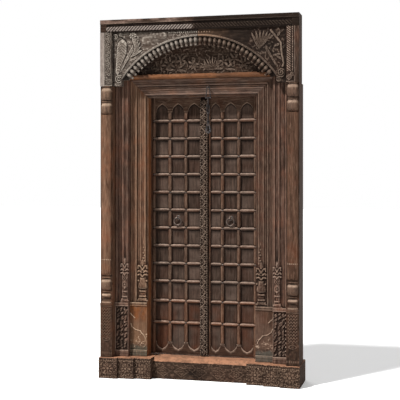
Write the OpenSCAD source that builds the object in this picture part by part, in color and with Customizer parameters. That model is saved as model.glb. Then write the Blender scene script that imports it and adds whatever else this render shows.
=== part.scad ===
// Carved portal door: a stepped timber frame with an arched head, and two boarded leaves on wooden pivots.
// X runs to the right, Y runs into the doorway, Z runs up from the floor under the sill.

/* [Opening] */
// Clear width between the inner jambs
opening_w = 772; // [680:4:880]
// Clear height from the top of the sill to the lintel
opening_h = 1816; // [1780:4:1900]
// Where the two leaves meet, right of the centre line
seam_x = 33; // [28:1:40]
// Gap between the two leaves
seam_gap = 6; // [5:0.5:9]

/* [Frame] */
// Face width of the inner jambs and of the lintel
inner_w = 126; // [118:2:140]
// Face width of the middle jambs
middle_w = 100; // [92:2:116]
// Face width of the outer posts and of the border
post_w = 88; // [82:2:100]
// Depth of the middle jambs' face behind the border's face
middle_set = 73; // [66:1:80]
// Depth of the inner jambs' face behind the border's face
inner_set = 109; // [102:1:116]
// Depth of the frame timbers' back behind the border's face
frame_back = 192; // [186:1:200]
// Depth of the border timbers
border_back = 140; // [132:2:160]

/* [Sill] */
// Height of the sill
sill_h = 146; // [136:2:170]
// Depth of the sill's back behind the border's face
sill_back = 262; // [256:2:280]
// How far the sill runs past each post
sill_over = 6; // [2:1:12]
// Step in depth from one sill block to the next
sill_step = 18; // [14:1:22]
// Depth of the sill's middle face
sill_mid_set = 66; // [60:1:74]
// Height worn off the middle of the sill's front edge
sill_wear = 25; // [10:1:34]

/* [Half columns] */
// Radius of the plain shaft
shaft_r = 47; // [42:1:48]
// Depth of the column's axis behind the border's face
column_set = 39; // [37:1:42]
// Depth of the posts' face behind the border's face
post_set = 10; // [8:1:14]
// Height of the pedestals above the sill
pedestal_h = 376; // [340:4:420]
// Height of the turned base above the pedestal
base_h = 200; // [180:2:220]
// Height of the turned capital
capital_h = 195; // [180:2:210]

/* [Head] */
// Width of a spandrel's foot beside the arch
spandrel_foot = 67; // [56:1:84]
// Rise of the arch from its spring to its crown
arch_rise = 286; // [270:1:310]
// Drop of the spring below the lintel's top
spring_drop = 8; // [4:1:14]
// Timber left between the arch's crown and the border
crown_cover = 46; // [38:1:70]
// How far the spandrels and side borders hang below the lintel's top
foot_drop = 50; // [40:1:60]
// Length of a bud petal
petal_l = 56; // [48:1:62]
// Radius of a bud petal
petal_r = 14.5; // [12:0.5:15]
// Bud petals on each half of the arch
petal_count = 17; // [13:1:18]
// Thickness of the ledge board
ledge_t = 32; // [26:1:40]
// Depth of the spandrel boards' face behind the border's face
spandrel_set = 14; // [10:1:18]
// Depth of the ledge's front edge
ledge_set = 62; // [58:1:68]
// Depth of the tympanum's face
tympanum_set = 96; // [90:1:104]
// Thickness of the tympanum board
tympanum_t = 24; // [18:1:32]
// Height of the pivot beam
beam_h = 90; // [84:2:110]

/* [Rope border] */
// Width of the rope band
rope_w = 48; // [40:1:52]
// Radius of one rope strand
strand_r = 6; // [4:0.5:7]
// Distance from one strand to the next
strand_pitch = 24; // [18:0.5:28]

/* [Leaves] */
// Thickness of the boards
board_t = 26; // [22:1:30]
// Gap between the frame's back and the battens
leaf_gap = 4; // [3:0.5:6]
// Thickness of the hinge stile, which is round on its outer edge
stile_t = 38; // [34:1:44]
// Gap under the leaf
foot_gap = 6; // [3:0.5:10]
// How far the leaf's head laps behind the lintel
head_lap = 13; // [8:1:18]
// Radius of the wooden pivots
pivot_r = 16; // [13:0.5:17]
// Depth of the pivot's hole in the sill
pivot_hole = 40; // [30:1:60]
// Radial clearance of the pivots
pivot_play = 0.06; // [0.02:0.01:0.1]
// Thickness of the back ledges
back_ledge_t = 22; // [18:1:28]
// Width of the back ledges
back_ledge_w = 78; // [60:2:100]

/* [Battens] */
// Width of the upright battens
upright_w = 26; // [18:1:28]
// How far the upright battens stand off the boards
upright_t = 16; // [14:0.5:20]
// Inset of the outermost uprights from the opening's edge
upright_inset = 20; // [16:1:26]
// Distance of the innermost uprights from the centre line
upright_first = 132; // [120:1:140]
// Height of the cross battens
cross_w = 26; // [20:1:32]
// How far the cross battens stand off the boards
cross_t = 11; // [8:0.5:13]
// Drop of the first cross batten below the lintel
row_first = 163.5; // [155:0.5:175]
// Evenly spaced cross battens
row_count = 10; // [8:1:11]
// Distance from these to the second last cross batten
row_low = 138.5; // [130:0.5:150]
// Distance to the last cross batten
row_last = 153; // [145:1:165]
// Height of the last cross batten above the sill
row_foot = 227; // [210:1:240]
// Width of the carved meeting bead
bead_w = 56; // [48:1:60]
// How far the meeting bead stands off the boards
bead_t = 38; // [30:1:40]

/* [Ironwork] */
// Radius of a ring pull to the middle of its bar
ring_r = 26; // [22:0.5:28]
// Radius of the ring's bar
ring_bar_r = 5; // [4:0.5:6]
// Drop of the rings' eyes below the cross batten above them
ring_drop = 52.5; // [48:0.5:56]
// Radius of the chain's bar
chain_r = 3.5; // [3:0.1:4]
// Play between one link and the next
chain_play = 0.4; // [0.3:0.05:0.6]
// Distance from one slim link to the next
link_pitch = 54; // [44:1:60]
// Length of the pear link at the top of the chain
pear_l = 76; // [64:1:90]
// Width of the pear link's foot
pear_w = 34; // [28:1:40]
// Place of the chain to the right of the centre line
chain_x = 58; // [50:1:64]
// Height of the chain's eye above the opening
chain_up = 62; // [54:1:70]
// How far the chain hangs in front of the lintel
chain_off = 24; // [20:1:30]
// Width of the hasp
hasp_w = 42; // [36:1:48]
// Length of the hasp's plate
hasp_l = 74; // [64:1:84]

/* [Hidden] */
$fn = 48;
LEFT = -1;
RIGHT = 1;
// Overlap of solids that are fused within one node
sunk = 2;

// Frame widths, each as a distance from the centre line
half_open = opening_w / 2;
inner_x = half_open + inner_w;
middle_x = inner_x + middle_w;
post_x = middle_x + post_w;
sill_x = post_x + sill_over;

// Heights above the floor
opening_top = sill_h + opening_h;
lintel_top = opening_top + inner_w;
ledge_top = lintel_top + ledge_t;
spring_z = lintel_top - spring_drop;
arch_half = middle_x - spandrel_foot;
foot_z = lintel_top - foot_drop;
border_z = spring_z + arch_rise + crown_cover;
portal_h = border_z + post_w;
pedestal_z = sill_h + pedestal_h;

// Arch
arch_r = (arch_half * arch_half + arch_rise * arch_rise) / (2 * arch_rise);
arch_z = spring_z + arch_rise - arch_r;
rim_w = 14;
rim_up = 5;
petal_set = spandrel_set + 20;
petal_up = 3;
petal_root = 3;
petal_turn = 40;
backing_w = 34;
petal_mid_r = arch_r - petal_l / 2;
petal_span = acos((spring_z + petal_r - arch_z) / petal_mid_r);
petal_step = petal_span / petal_count;

// Sill blocks: their side edges from the centre line outwards, and the depth of their faces
sill_front = -16;
block_in = [48, 54, 40];
block_x = [half_open - block_in[0], inner_x - block_in[1], middle_x - block_in[2], sill_x];
block_set = [sill_front + 2 * sill_step, sill_front + sill_step, sill_front];
field_edge = 12;
field_sunk = 7;

// Depths behind the border's face
depth_mid = (sill_front + sill_back) / 2;
pedestal_up = 11;
post_up = 8;
band_in = 18;
edge_in = 36;
board_set = frame_back + leaf_gap + upright_t;
pivot_set = board_set + board_t / 2;
board_back = board_set + board_t;
chain_set = inner_set - chain_off;

// Leaves
pivot_x = half_open + stile_t / 2;
stile_in = half_open - upright_inset + upright_w / 2;
leaf_z = sill_h + foot_gap;
leaf_top = opening_top + head_lap;
beam_z = leaf_top + foot_gap;
left_edge = seam_x - seam_gap / 2;
right_edge = seam_x + seam_gap / 2;
strip_w = 10;
upright_pitch = (half_open - upright_inset - upright_first) / 2;
upright_places = [for (i = [0:2]) upright_first + i * upright_pitch];
row_pitch = (opening_h - row_first - row_low - row_last - row_foot) / (row_count - 1);
row_even = [for (i = [0:row_count - 1]) opening_top - row_first - i * row_pitch];
row_places = concat(
    row_even,
    [sill_h + row_foot + row_last, sill_h + row_foot]
);
rail_t = 9;
arch_shoulder = 102;
arch_tip = 43;
rail_up = 120;
rail_gap = 2;
scallop_shoulder = 92;
scallop_tip = 38;
nail_r = 6;
back_ledge_count = 5;

// Ironwork
eye_bar_r = 3;
eye_play = 0.6;
ring_gap = 1;
rose_r = 17;
rose_t = 3;
shank_r = 4;
shank_play = 0.05;
shank_short = 20;
ring_set = board_set - cross_t - ring_gap - ring_bar_r;
ring_x = (upright_places[0] + upright_places[1]) / 2;
ring_row = round((row_count + 1) / 2) - 1;
ring_axis_z = row_even[ring_row] - ring_drop;
chain_bend_r = 2 * chain_r + chain_play;
chain_top_z = opening_top + chain_up;
pear_foot_z = chain_top_z - pear_l;
link_one_z = pear_foot_z;
link_two_z = link_one_z - link_pitch;
link_three_z = link_two_z - link_pitch;
hasp_z = link_three_z - link_pitch;

// Colours of the weathered wood and of the iron
dark_wood = "#4e3b30";
grey_wood = "#81766a";
red_wood = "#5f4034";
bare_wood = "#a87350";
old_iron = "#3a3532";

// Carries a piece from depth behind the border's face to the frame centred in depth.
module in_depth() {
    translate([0, -depth_mid, 0]) children();
}

// Mirrors a piece that is drawn for the right side to the side asked for.
module sided(side) {
    mirror([side < 0 ? 1 : 0, 0, 0]) children();
}

// A block from its two corners.
module block(a, b) {
    translate(a) cube(b - a);
}

// Extrudes an outline that is drawn in X and Z towards the viewer, from a face at a given depth.
module relief(set, up) {
    translate([0, set + sunk, 0]) rotate([90, 0, 0]) linear_extrude(up + sunk) children();
}

// Extrudes an outline that is drawn in X and Z between two depths.
module panel(front, back) {
    translate([0, back, 0]) rotate([90, 0, 0]) linear_extrude(back - front) children();
}

// A pointed leaf, as the overlap of two circles, with its foot at the origin.
module leaf_outline(l, w) {
    r = (l * l + w * w) / (4 * w);
    translate([0, l / 2]) intersection() {
        translate([r - w / 2, 0]) circle(r);
        translate([w / 2 - r, 0]) circle(r);
    }
}

// A ring of leaves round a hub.
module flower(set, r, count, up) {
    relief(set, up) for (i = [0:count - 1]) rotate(i * 360 / count) translate([0, 0.36 * r])
        leaf_outline(0.64 * r, 1.5 * r / count * 2);
    relief(set, up + 2) circle(0.3 * r);
}

// A swelling stretch of a turned profile, from its foot to its head, as a list of radius and height.
function swell(z0, z1, r_end, r_mid, steps = 6) = [
    for (i = [0:steps]) [
        r_end + (r_mid - r_end) * sin(180 * i / steps),
        z0 + (z1 - z0) * i / steps
    ]
];

// A turned solid from a list of radius and height.
module turned(profile) {
    foot = profile[0][1];
    head = profile[len(profile) - 1][1];
    rotate_extrude() polygon(concat([[0, foot]], profile, [[0, head]]));
}

// A ring of round bar about the Z axis.
module round_ring(r, bar) {
    rotate_extrude() translate([r, 0]) circle(bar);
}

// A pedestal block with its foot and cap mouldings, standing out in front of a jamb's face.
module pedestal(x0, x1, set, up) {
    face = set - up;
    lip = 5;
    foot = 34;
    cap = 16;
    block([x0, face, sill_h], [x1, set + sunk, pedestal_z]);
    block([x0, face - lip, sill_h], [x1, set + sunk, sill_h + foot]);
    block([x0, face - lip, pedestal_z - cap], [x1, set + sunk, pedestal_z]);
    translate([x0, face, sill_h + foot + lip]) rotate([0, 90, 0]) cylinder(r = lip, h = x1 - x0);
    translate([x0, face, pedestal_z - cap - lip]) rotate([0, 90, 0]) cylinder(r = lip, h = x1 - x0);
}

// The outline of the inner order: two beaded bands with a groove between, stepping back to the opening.
module inner_profile() {
    edge = 14;
    band = 46;
    groove = 18;
    bead = 6;
    groove_in = 28;
    edge_set = inner_set + edge_in;
    band_set = inner_set + band_in;
    groove_set = inner_set + groove_in;
    outer = edge + band + groove;
    translate([0, edge_set]) square([inner_w, frame_back - edge_set]);
    translate([edge, band_set]) square([band, edge_set - band_set + 1]);
    translate([edge + band - 1, groove_set]) square([groove + 2, edge_set - groove_set + 1]);
    translate([outer, inner_set]) square([inner_w - outer, edge_set - inner_set + 1]);
    for (u = [edge + bead, edge + band - bead]) translate([u, band_set]) circle(bead);
    for (u = [outer + bead, inner_w - bead]) translate([u, inner_set]) circle(bead);
}

// The triangle between the inner jamb's outer edge and the mitre line, drawn in X and Z.
module mitre_corner(side) {
    far = inner_w + 2;
    corner = side > 0 ? [-1, far] : [far, -1];
    translate([half_open, opening_top]) polygon([[-1, -1], [far, far], corner]);
}

// A carved vase on a pedestal, turned about its own axis: a foot, a neck, a ring, a bell and a collar.
module vase(r, h) {
    turned(concat(
        [[0.92 * r, 0], [0.92 * r, 0.04 * h], [0.6 * r, 0.07 * h], [0.56 * r, 0.16 * h]],
        swell(0.17 * h, 0.24 * h, 0.6 * r, 0.84 * r),
        [[0.56 * r, 0.26 * h], [0.9 * r, 0.28 * h], [r, 0.33 * h], [0.94 * r, 0.41 * h]],
        [[0.76 * r, 0.5 * h], [0.6 * r, 0.58 * h]],
        swell(0.6 * h, 0.66 * h, 0.6 * r, 0.78 * r)
    ));
}

// A spray of leaves, drawn on a face, with its foot at the origin.
module spray(set, l, w, count, spread, up) {
    for (i = [0:count - 1]) relief(set, up)
        rotate(spread * (0.5 - i / (count - 1))) translate([0, 0.12 * l]) leaf_outline(l, w);
}

// The turned half column, from its base to its capital, about its own axis.
module half_column(base_z, head_z) {
    r = shaft_r;
    neck = head_z - capital_h;
    b = base_h;
    c = capital_h;
    turned(concat(
        [[1.02 * r, base_z], [1.02 * r, base_z + 0.05 * b]],
        swell(base_z + 0.2 * b, base_z + 0.34 * b, 0.88 * r, 0.99 * r),
        swell(base_z + 0.47 * b, base_z + 0.83 * b, 0.88 * r, 1.04 * r, 8),
        swell(base_z + 0.87 * b, base_z + 0.93 * b, 0.88 * r, 0.94 * r, 4),
        [[r, base_z + b], [r, neck - 8]],
        swell(neck - 4, neck + 0.04 * c, 0.9 * r, 0.97 * r, 4),
        swell(neck + 0.06 * c, neck + 0.42 * c, 0.86 * r, 1.07 * r, 8),
        swell(neck + 0.44 * c, neck + 0.5 * c, 0.86 * r, 0.95 * r, 4),
        swell(neck + 0.52 * c, neck + 0.92 * c, 0.86 * r, 1.07 * r, 8),
        [[r, neck + 0.95 * c], [r, head_z]]
    ));
}

// A post with its half column and pedestal.
module post(side) {
    column_x = middle_x + post_w / 2;
    room = 2 * shaft_r;
    in_depth() sided(side) {
        block([middle_x, post_set, sill_h], [post_x, frame_back, foot_z]);
        intersection() {
            translate([column_x, column_set, 0]) half_column(pedestal_z, foot_z);
            block([column_x - room, column_set - room, 0], [column_x + room, post_set + sunk, portal_h]);
        }
        pedestal(middle_x, post_x, post_set, post_up);
    }
}

// A middle jamb with two beads, its pedestal and its vase.
module middle_jamb(side) {
    bead = 7;
    edge = 11;
    vase_in = 29;
    vase_x = inner_x + vase_in;
    vase_r = 27;
    vase_h = 300;
    vase_sunk = 14;
    leaf_l = 80;
    leaf_w = 20;
    bloom_r = 27;
    bloom_up = 12;
    in_depth() sided(side) {
        translate([inner_x, 0, sill_h]) linear_extrude(lintel_top - sill_h) {
            translate([0, middle_set]) square([middle_w, frame_back - middle_set]);
            for (u = [edge, 0.42 * middle_w, middle_w - edge]) translate([u, middle_set]) circle(bead);
        }
        pedestal(inner_x, middle_x, middle_set, pedestal_up);
        translate([vase_x, middle_set + vase_sunk, pedestal_z]) vase(vase_r, vase_h);
        translate([vase_x, 0, pedestal_z + 0.66 * vase_h])
            spray(middle_set, leaf_l, leaf_w, 3, 22, bloom_up);
        translate([vase_x, 0, pedestal_z + 0.86 * vase_h]) flower(middle_set, bloom_r, 8, bloom_up);
    }
}

// An inner jamb with its mitred head, its pedestal and its vase.
module inner_jamb(side) {
    vase_in = 38;
    vase_x = half_open + vase_in;
    vase_r = 35;
    vase_h = 340;
    vase_sunk = 30;
    leaf_l = 122;
    leaf_w = 30;
    leaf_set = inner_set + band_in;
    leaf_up = 14;
    in_depth() sided(side) {
        difference() {
            translate([half_open, 0, sill_h]) linear_extrude(lintel_top - sill_h) inner_profile();
            panel(0, frame_back + 1) mitre_corner(RIGHT);
        }
        pedestal(half_open, inner_x, inner_set, pedestal_up);
        translate([vase_x, inner_set + vase_sunk, pedestal_z]) vase(vase_r, vase_h);
        translate([vase_x, 0, pedestal_z + 0.64 * vase_h])
            spray(leaf_set, leaf_l, leaf_w, 4, 16, leaf_up);
    }
}

// The sill's stepped plan, drawn on the right of the centre line.
module sill_plan() {
    polygon([
        [0, sill_mid_set], [block_x[0], sill_mid_set],
        [block_x[0], block_set[0]], [block_x[1], block_set[0]],
        [block_x[1], block_set[1]], [block_x[2], block_set[1]],
        [block_x[2], block_set[2]], [block_x[3], block_set[2]],
        [block_x[3], sill_back], [0, sill_back]
    ]);
}

// The sunk field in the face of one sill block.
module sill_field(i) {
    block(
        [block_x[i] + field_edge, block_set[i] - 1, field_edge],
        [block_x[i + 1] - field_edge, block_set[i] + field_sunk, sill_h - field_edge]
    );
}

module sill() {
    wear_run = 48;
    frieze_r = 34;
    frieze_pitch = 130;
    frieze_z = (sill_h - sill_wear) / 2;
    color(bare_wood) in_depth() {
        difference() {
            for (side = [LEFT, RIGHT]) sided(side) linear_extrude(sill_h) sill_plan();
            for (side = [LEFT, RIGHT], i = [0:2]) sided(side) sill_field(i);
            block(
                [-block_x[0] + field_edge, sill_mid_set - 1, field_edge],
                [block_x[0] - field_edge, sill_mid_set + field_sunk, sill_h - sill_wear - field_edge]
            );
            rotate([90, 0, 90]) translate([0, 0, -block_x[0]]) linear_extrude(2 * block_x[0]) polygon([
                [sill_mid_set - 1, sill_h + 1], [sill_mid_set - 1, sill_h - sill_wear],
                [sill_mid_set, sill_h - sill_wear], [sill_mid_set + wear_run, sill_h],
                [sill_mid_set + wear_run, sill_h + 1]
            ]);
            for (side = [LEFT, RIGHT]) translate([side * pivot_x, pivot_set, sill_h - pivot_hole])
                cylinder(r = pivot_r + pivot_play, h = pivot_hole + 1);
        }
        for (side = [LEFT, RIGHT], i = [0:2]) sided(side)
            translate([(block_x[i] + block_x[i + 1]) / 2, 0, sill_h / 2])
                flower(block_set[i] + field_sunk, sill_h / 2 - field_edge - 6, 8, field_sunk - 3);
        for (i = [-2:2]) translate([i * frieze_pitch, 0, frieze_z])
            flower(sill_mid_set + field_sunk, frieze_r, 8, field_sunk - 3);
    }
}

module lintel() {
    color(dark_wood) in_depth() difference() {
        translate([-inner_x, 0, opening_top]) rotate([90, 0, 90]) linear_extrude(2 * inner_x)
            mirror([1, -1]) inner_profile();
        for (side = [LEFT, RIGHT]) sided(side) panel(0, frame_back + 1) mitre_corner(LEFT);
        translate([chain_x, chain_set, chain_top_z]) rotate([-90, 0, 0])
            cylinder(r = shank_r + shank_play, h = frame_back - chain_set - shank_short);
    }
}

module ledge() {
    nose = 14;
    color(bare_wood) in_depth() {
        block([-middle_x, ledge_set + nose, lintel_top], [middle_x, frame_back, ledge_top]);
        block(
            [-middle_x, ledge_set, lintel_top + nose - sunk],
            [middle_x, ledge_set + nose + 1, ledge_top - nose + sunk]
        );
        for (z = [lintel_top + nose, ledge_top - nose]) translate([-middle_x, ledge_set + nose, z])
            rotate([0, 90, 0]) cylinder(r = nose, h = 2 * middle_x);
    }
}

// One bud petal along a radius of the arch: a small tip, a widening stem and a round head under the rim.
module petal() {
    tip_r = 0.52 * petal_r;
    stem_z = 0.1 * petal_l;
    translate([0, 0, petal_l - petal_r]) sphere(petal_r);
    translate([0, 0, stem_z])
        cylinder(r1 = 0.87 * tip_r, r2 = 0.93 * petal_r, h = petal_l - 1.2 * petal_r - stem_z);
    translate([0, 0, stem_z]) sphere(tip_r);
}

// A spandrel board on one side of the crown, with the rim, the petals and a carved plant.
module spandrel(side) {
    plant_in = [60, 170];
    plant_down = 62;
    plant_r = 42;
    plant_foot = [74, 250];
    leaf_l = 96;
    leaf_w = 22;
    in_depth() sided(side) {
        difference() {
            panel(spandrel_set, ledge_set) difference() {
                translate([0, foot_z]) square([middle_x, border_z - foot_z]);
                translate([0, arch_z]) circle(arch_r - backing_w, $fn = 160);
            }
            panel(spandrel_set - 1, petal_set) intersection() {
                translate([0, arch_z]) circle(arch_r, $fn = 160);
                translate([-1, foot_z - 1]) square([middle_x, border_z - foot_z]);
            }
            panel(spandrel_set - 1, ledge_set + 1) translate([-1, foot_z - 1])
                square([arch_half + 2, spring_z - foot_z + 1]);
        }
        relief(spandrel_set, rim_up) intersection() {
            difference() {
                translate([0, arch_z]) circle(arch_r + rim_w, $fn = 160);
                translate([0, arch_z]) circle(arch_r, $fn = 160);
            }
            translate([0, spring_z]) square([middle_x, arch_rise + rim_w]);
        }
        for (i = [0:petal_count - 1]) translate([0, petal_set - petal_up, arch_z])
            rotate([0, (i + 0.5) * petal_step, 0]) translate([0, 0, arch_r + petal_root - petal_l])
                rotate(petal_turn) petal();
        for (x = plant_in) translate([middle_x - x, 0, border_z - plant_down])
            flower(spandrel_set, plant_r, 8, 6);
        translate([middle_x - plant_foot[0], 0, border_z - plant_foot[1]])
            spray(spandrel_set, leaf_l, leaf_w, 5, 72, 7);
    }
}

module tympanum() {
    bloom_pitch = 300;
    bloom_r = 60;
    bloom_foot = 12;
    leaf_l = 100;
    leaf_w = 26;
    color(dark_wood) in_depth() {
        block([-middle_x, tympanum_set, ledge_top], [middle_x, tympanum_set + tympanum_t, border_z]);
        for (i = [-1:1]) translate([i * bloom_pitch, 0, ledge_top + bloom_r + bloom_foot])
            flower(tympanum_set, bloom_r, 10, 7);
        for (i = [-0.5, 0.5]) translate([i * bloom_pitch, 0, ledge_top + bloom_foot])
            spray(tympanum_set, leaf_l, leaf_w, 5, 112, 6);
    }
}

// A row of slanting rope strands, along X from the origin.
module strands(l) {
    count = floor(l / strand_pitch);
    lean = -48;
    long = rope_w + 4;
    for (i = [0:count - 1]) translate([(i + 0.5) * l / count, 0, 0]) rotate([0, lean, 0])
        translate([0, 0, -long / 2]) cylinder(r = strand_r, h = long);
}

module side_border(side) {
    rope_edge = 6;
    rope_head = 14;
    bloom_r = 26;
    rope_x = middle_x + rope_edge + rope_w / 2;
    in_depth() sided(side) {
        block([middle_x, 0, foot_z], [post_x, border_back, border_z]);
        translate([rope_x, 1, border_z - rope_head]) rotate([0, 90, 0])
            strands(border_z - foot_z - rope_head - 2 * bloom_r);
        translate([rope_x, 0, foot_z + bloom_r + rope_edge]) flower(0, bloom_r, 8, 5);
    }
}

module head_border() {
    rope_edge = 6;
    rope_start = 16;
    color(red_wood) in_depth() {
        block([-post_x, 0, border_z], [post_x, border_back, portal_h]);
        for (side = [LEFT, RIGHT]) sided(side) translate([rope_start, 1, border_z + rope_edge + rope_w / 2])
            strands(middle_x + rope_w / 2);
    }
}

module pivot_beam() {
    end = 62;
    color(dark_wood) in_depth() difference() {
        block([-pivot_x - end, frame_back, beam_z], [pivot_x + end, sill_back, beam_z + beam_h]);
        for (side = [LEFT, RIGHT]) translate([side * pivot_x, pivot_set, beam_z - 1])
            cylinder(r = pivot_r + pivot_play, h = pivot_hole + 1);
    }
}

// The inner edge of a leaf's boards, measured towards its own side from the centre line.
function meeting_edge(side) = side > 0 ? right_edge : -left_edge;

// Three boards, with their joints behind the upright battens and a hole for the ring's eye.
module boards(side) {
    joints = [meeting_edge(side), upright_places[0], upright_places[1], stile_in];
    shrink = 0.6;
    color(dark_wood) in_depth() sided(side) difference() {
        for (i = [0:2]) block(
            [joints[i] + (i > 0 ? shrink / 2 : 0), board_set, leaf_z],
            [joints[i + 1] - (i < 2 ? shrink / 2 : 0), board_back, leaf_top]
        );
        translate([ring_x, board_set - 1, ring_axis_z]) rotate([-90, 0, 0])
            cylinder(r = shank_r + shank_play, h = board_t + 2);
    }
}

// The hinge stile, round about the pivot's axis, with a pivot at each end.
module stile(side) {
    color(dark_wood) in_depth() sided(side) {
        block([stile_in, pivot_set - stile_t / 2, leaf_z], [pivot_x, pivot_set + stile_t / 2, leaf_top]);
        translate([pivot_x, pivot_set, leaf_z]) cylinder(r = stile_t / 2, h = leaf_top - leaf_z);
        translate([pivot_x, pivot_set, sill_h - pivot_hole])
            cylinder(r = pivot_r, h = beam_z + pivot_hole - 4 - sill_h + pivot_hole);
    }
}

// A round arch drawn up to a point, as a list of points from its right shoulder over its tip.
function ogee(w, h, steps = 8) = [
    for (i = [-steps:steps]) let(t = 1 - abs(i) / steps)
        [-w / 2 * i / steps, h * (0.86 * sqrt(t * (2 - t)) + 0.14 * t * t * t)]
];

// A pointed arch over one column of the grid, standing on the X axis.
module ogee_outline(w, h) {
    polygon(ogee(w, h));
}

// The columns of the grid on one side, each as its inner and outer edge.
function grid_columns(side) = [
    [meeting_edge(side) + (side > 0 ? strip_w : bead_w), upright_places[0] - upright_w / 2],
    [upright_places[0] + upright_w / 2, upright_places[1] - upright_w / 2],
    [upright_places[1] + upright_w / 2, upright_places[2] - upright_w / 2]
];

module top_rail(side) {
    upright_play = 0.2;
    columns = grid_columns(side);
    rail_z = opening_top - rail_up;
    color(dark_wood) in_depth() sided(side) panel(board_set - rail_t, board_set) difference() {
        translate([columns[0][0], rail_z]) square([columns[2][1] - columns[0][0], leaf_top - rail_z]);
        for (c = columns) translate([(c[0] + c[1]) / 2, opening_top - arch_shoulder]) {
            arch_w = c[1] - c[0] - 2 * rail_gap;
            ogee_outline(arch_w, arch_shoulder - arch_tip);
            translate([-arch_w / 2, -rail_up]) square([arch_w, rail_up + 0.01]);
        }
        for (x = [upright_places[0], upright_places[1]])
            translate([x - upright_w / 2 - upright_play, rail_z - 1])
                square([upright_w + 2 * upright_play, rail_up - arch_shoulder + 1]);
    }
}

module bottom_rail(side) {
    columns = grid_columns(side);
    color(dark_wood) in_depth() sided(side) panel(board_set - rail_t, board_set) difference() {
        translate([columns[0][0], leaf_z])
            square([columns[2][1] - columns[0][0], sill_h + scallop_shoulder - leaf_z]);
        for (c = columns) translate([(c[0] + c[1]) / 2, sill_h + scallop_shoulder + 0.01]) mirror([0, 1])
            ogee_outline(c[1] - c[0] - 2 * rail_gap, scallop_shoulder - scallop_tip);
    }
}

// Round-fronted upright battens, between the bottom rail and the top rail.
module uprights(side) {
    foot = sill_h + scallop_shoulder;
    head = opening_top - arch_shoulder;
    side_h = 6;
    ends = [[foot, head], [foot, head], [leaf_z, leaf_top]];
    color(dark_wood) in_depth() sided(side) for (i = [0:2])
        translate([upright_places[i], board_set, ends[i][0]]) linear_extrude(ends[i][1] - ends[i][0]) {
            translate([-upright_w / 2, -side_h]) square([upright_w, side_h]);
            intersection() {
                translate([-upright_w / 2, -upright_t]) square([upright_w, upright_t]);
                translate([0, -upright_t + upright_w / 2 + 1]) circle(upright_w / 2 + 1);
            }
        }
}

// Round-fronted cross battens, one in each cell of the grid.
module cross_battens(side) {
    bar_r = (cross_w * cross_w / 4 + cross_t * cross_t) / (2 * cross_t);
    play = 0.4;
    color(dark_wood) in_depth() sided(side) for (z = row_places, c = grid_columns(side))
        translate([c[0] + play, board_set, z]) rotate([90, 0, 90])
            linear_extrude(c[1] - c[0] - 2 * play) intersection() {
                translate([bar_r - cross_t, 0]) circle(bar_r);
                translate([-cross_t - 1, -cross_w]) square([cross_t + 1, 2 * cross_w]);
            }
}

module back_ledges(side) {
    run = leaf_top - leaf_z - 2 * back_ledge_w;
    ledge_gap = 6;
    color(dark_wood) in_depth() sided(side) for (i = [0:back_ledge_count - 1])
        translate([0, 0, leaf_z + back_ledge_w / 2 + i * run / (back_ledge_count - 1)])
            block(
                [meeting_edge(side) + strip_w, board_back, 0],
                [stile_in - ledge_gap, board_back + back_ledge_t, back_ledge_w]
            );
}

// Iron nails on the uprights, one beside each cross batten.
module nails(side) {
    color(old_iron) in_depth() sided(side) for (x = upright_places, z = row_places)
        translate([x, board_set - upright_t, z]) intersection() {
            translate([0, nail_r / 2, 0]) sphere(nail_r);
            block([-nail_r, -nail_r, -nail_r], [nail_r, 0, nail_r]);
        }
}

module meeting_bead() {
    head = opening_top - 18;
    body_t = bead_t - 8;
    edge = 6;
    edge_r = 5;
    bloom_r = 17;
    lozenge = [24, 0.57 * row_pitch];
    mid = left_edge - bead_w / 2;
    color(dark_wood) in_depth() {
        block([left_edge - bead_w, board_set - body_t, leaf_z], [left_edge, board_set, head]);
        for (u = [edge, bead_w - edge]) translate([left_edge - bead_w + u, board_set - body_t, leaf_z])
            cylinder(r = edge_r, h = head - leaf_z);
        for (z = row_places) translate([mid, 0, z]) flower(board_set - body_t, bloom_r, 6, 7);
        for (z = row_even) translate([mid, 0, z - (row_pitch + lozenge[1]) / 2])
            relief(board_set - body_t, 5) leaf_outline(lozenge[1], lozenge[0]);
    }
}

module meeting_strip() {
    strip_t = 14;
    color(dark_wood) in_depth()
        block([right_edge, board_set - strip_t, leaf_z], [right_edge + strip_w, board_set, leaf_top]);
}

module rose(side) {
    color(old_iron) in_depth() sided(side) translate([ring_x, board_set, ring_axis_z]) rotate([90, 0, 0])
        difference() {
            turned([[rose_r, 0], [rose_r, 1], [0.6 * rose_r, rose_t], [shank_r + 2, rose_t + 1]]);
            translate([0, 0, -1]) cylinder(r = shank_r + shank_play, h = rose_t + 3);
        }
}

// An eye of round bar standing out on a shank, with its hole along X.
module eye(hole_r, bar, shank) {
    rotate([0, 90, 0]) round_ring(hole_r + bar, bar);
    translate([0, hole_r + bar, 0]) rotate([-90, 0, 0]) cylinder(r = shank_r, h = shank - hole_r - bar);
}

module ring_eye(side) {
    color(old_iron) in_depth() sided(side) translate([ring_x, ring_set, ring_axis_z])
        eye(ring_bar_r + eye_play, eye_bar_r, board_back - ring_set);
}

module ring(side) {
    color(old_iron) in_depth() sided(side) translate([ring_x, ring_set, ring_axis_z - ring_r])
        rotate([90, 0, 0]) round_ring(ring_r, ring_bar_r);
}

module chain_eye() {
    color(old_iron) in_depth() translate([chain_x, chain_set, chain_top_z])
        eye(chain_r + chain_play, eye_bar_r, frame_back - shank_short - chain_set);
}

// A straight round bar between two points in the plane of X and Z, with a hammered knuckle at its far end.
module bar(a, b, r) {
    run = b - a;
    translate([a[0], 0, a[1]]) rotate([0, atan2(run[0], run[1]), 0]) cylinder(r = r, h = norm(run));
    translate([b[0], 0, b[1]]) sphere(1.15 * r);
}

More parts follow.
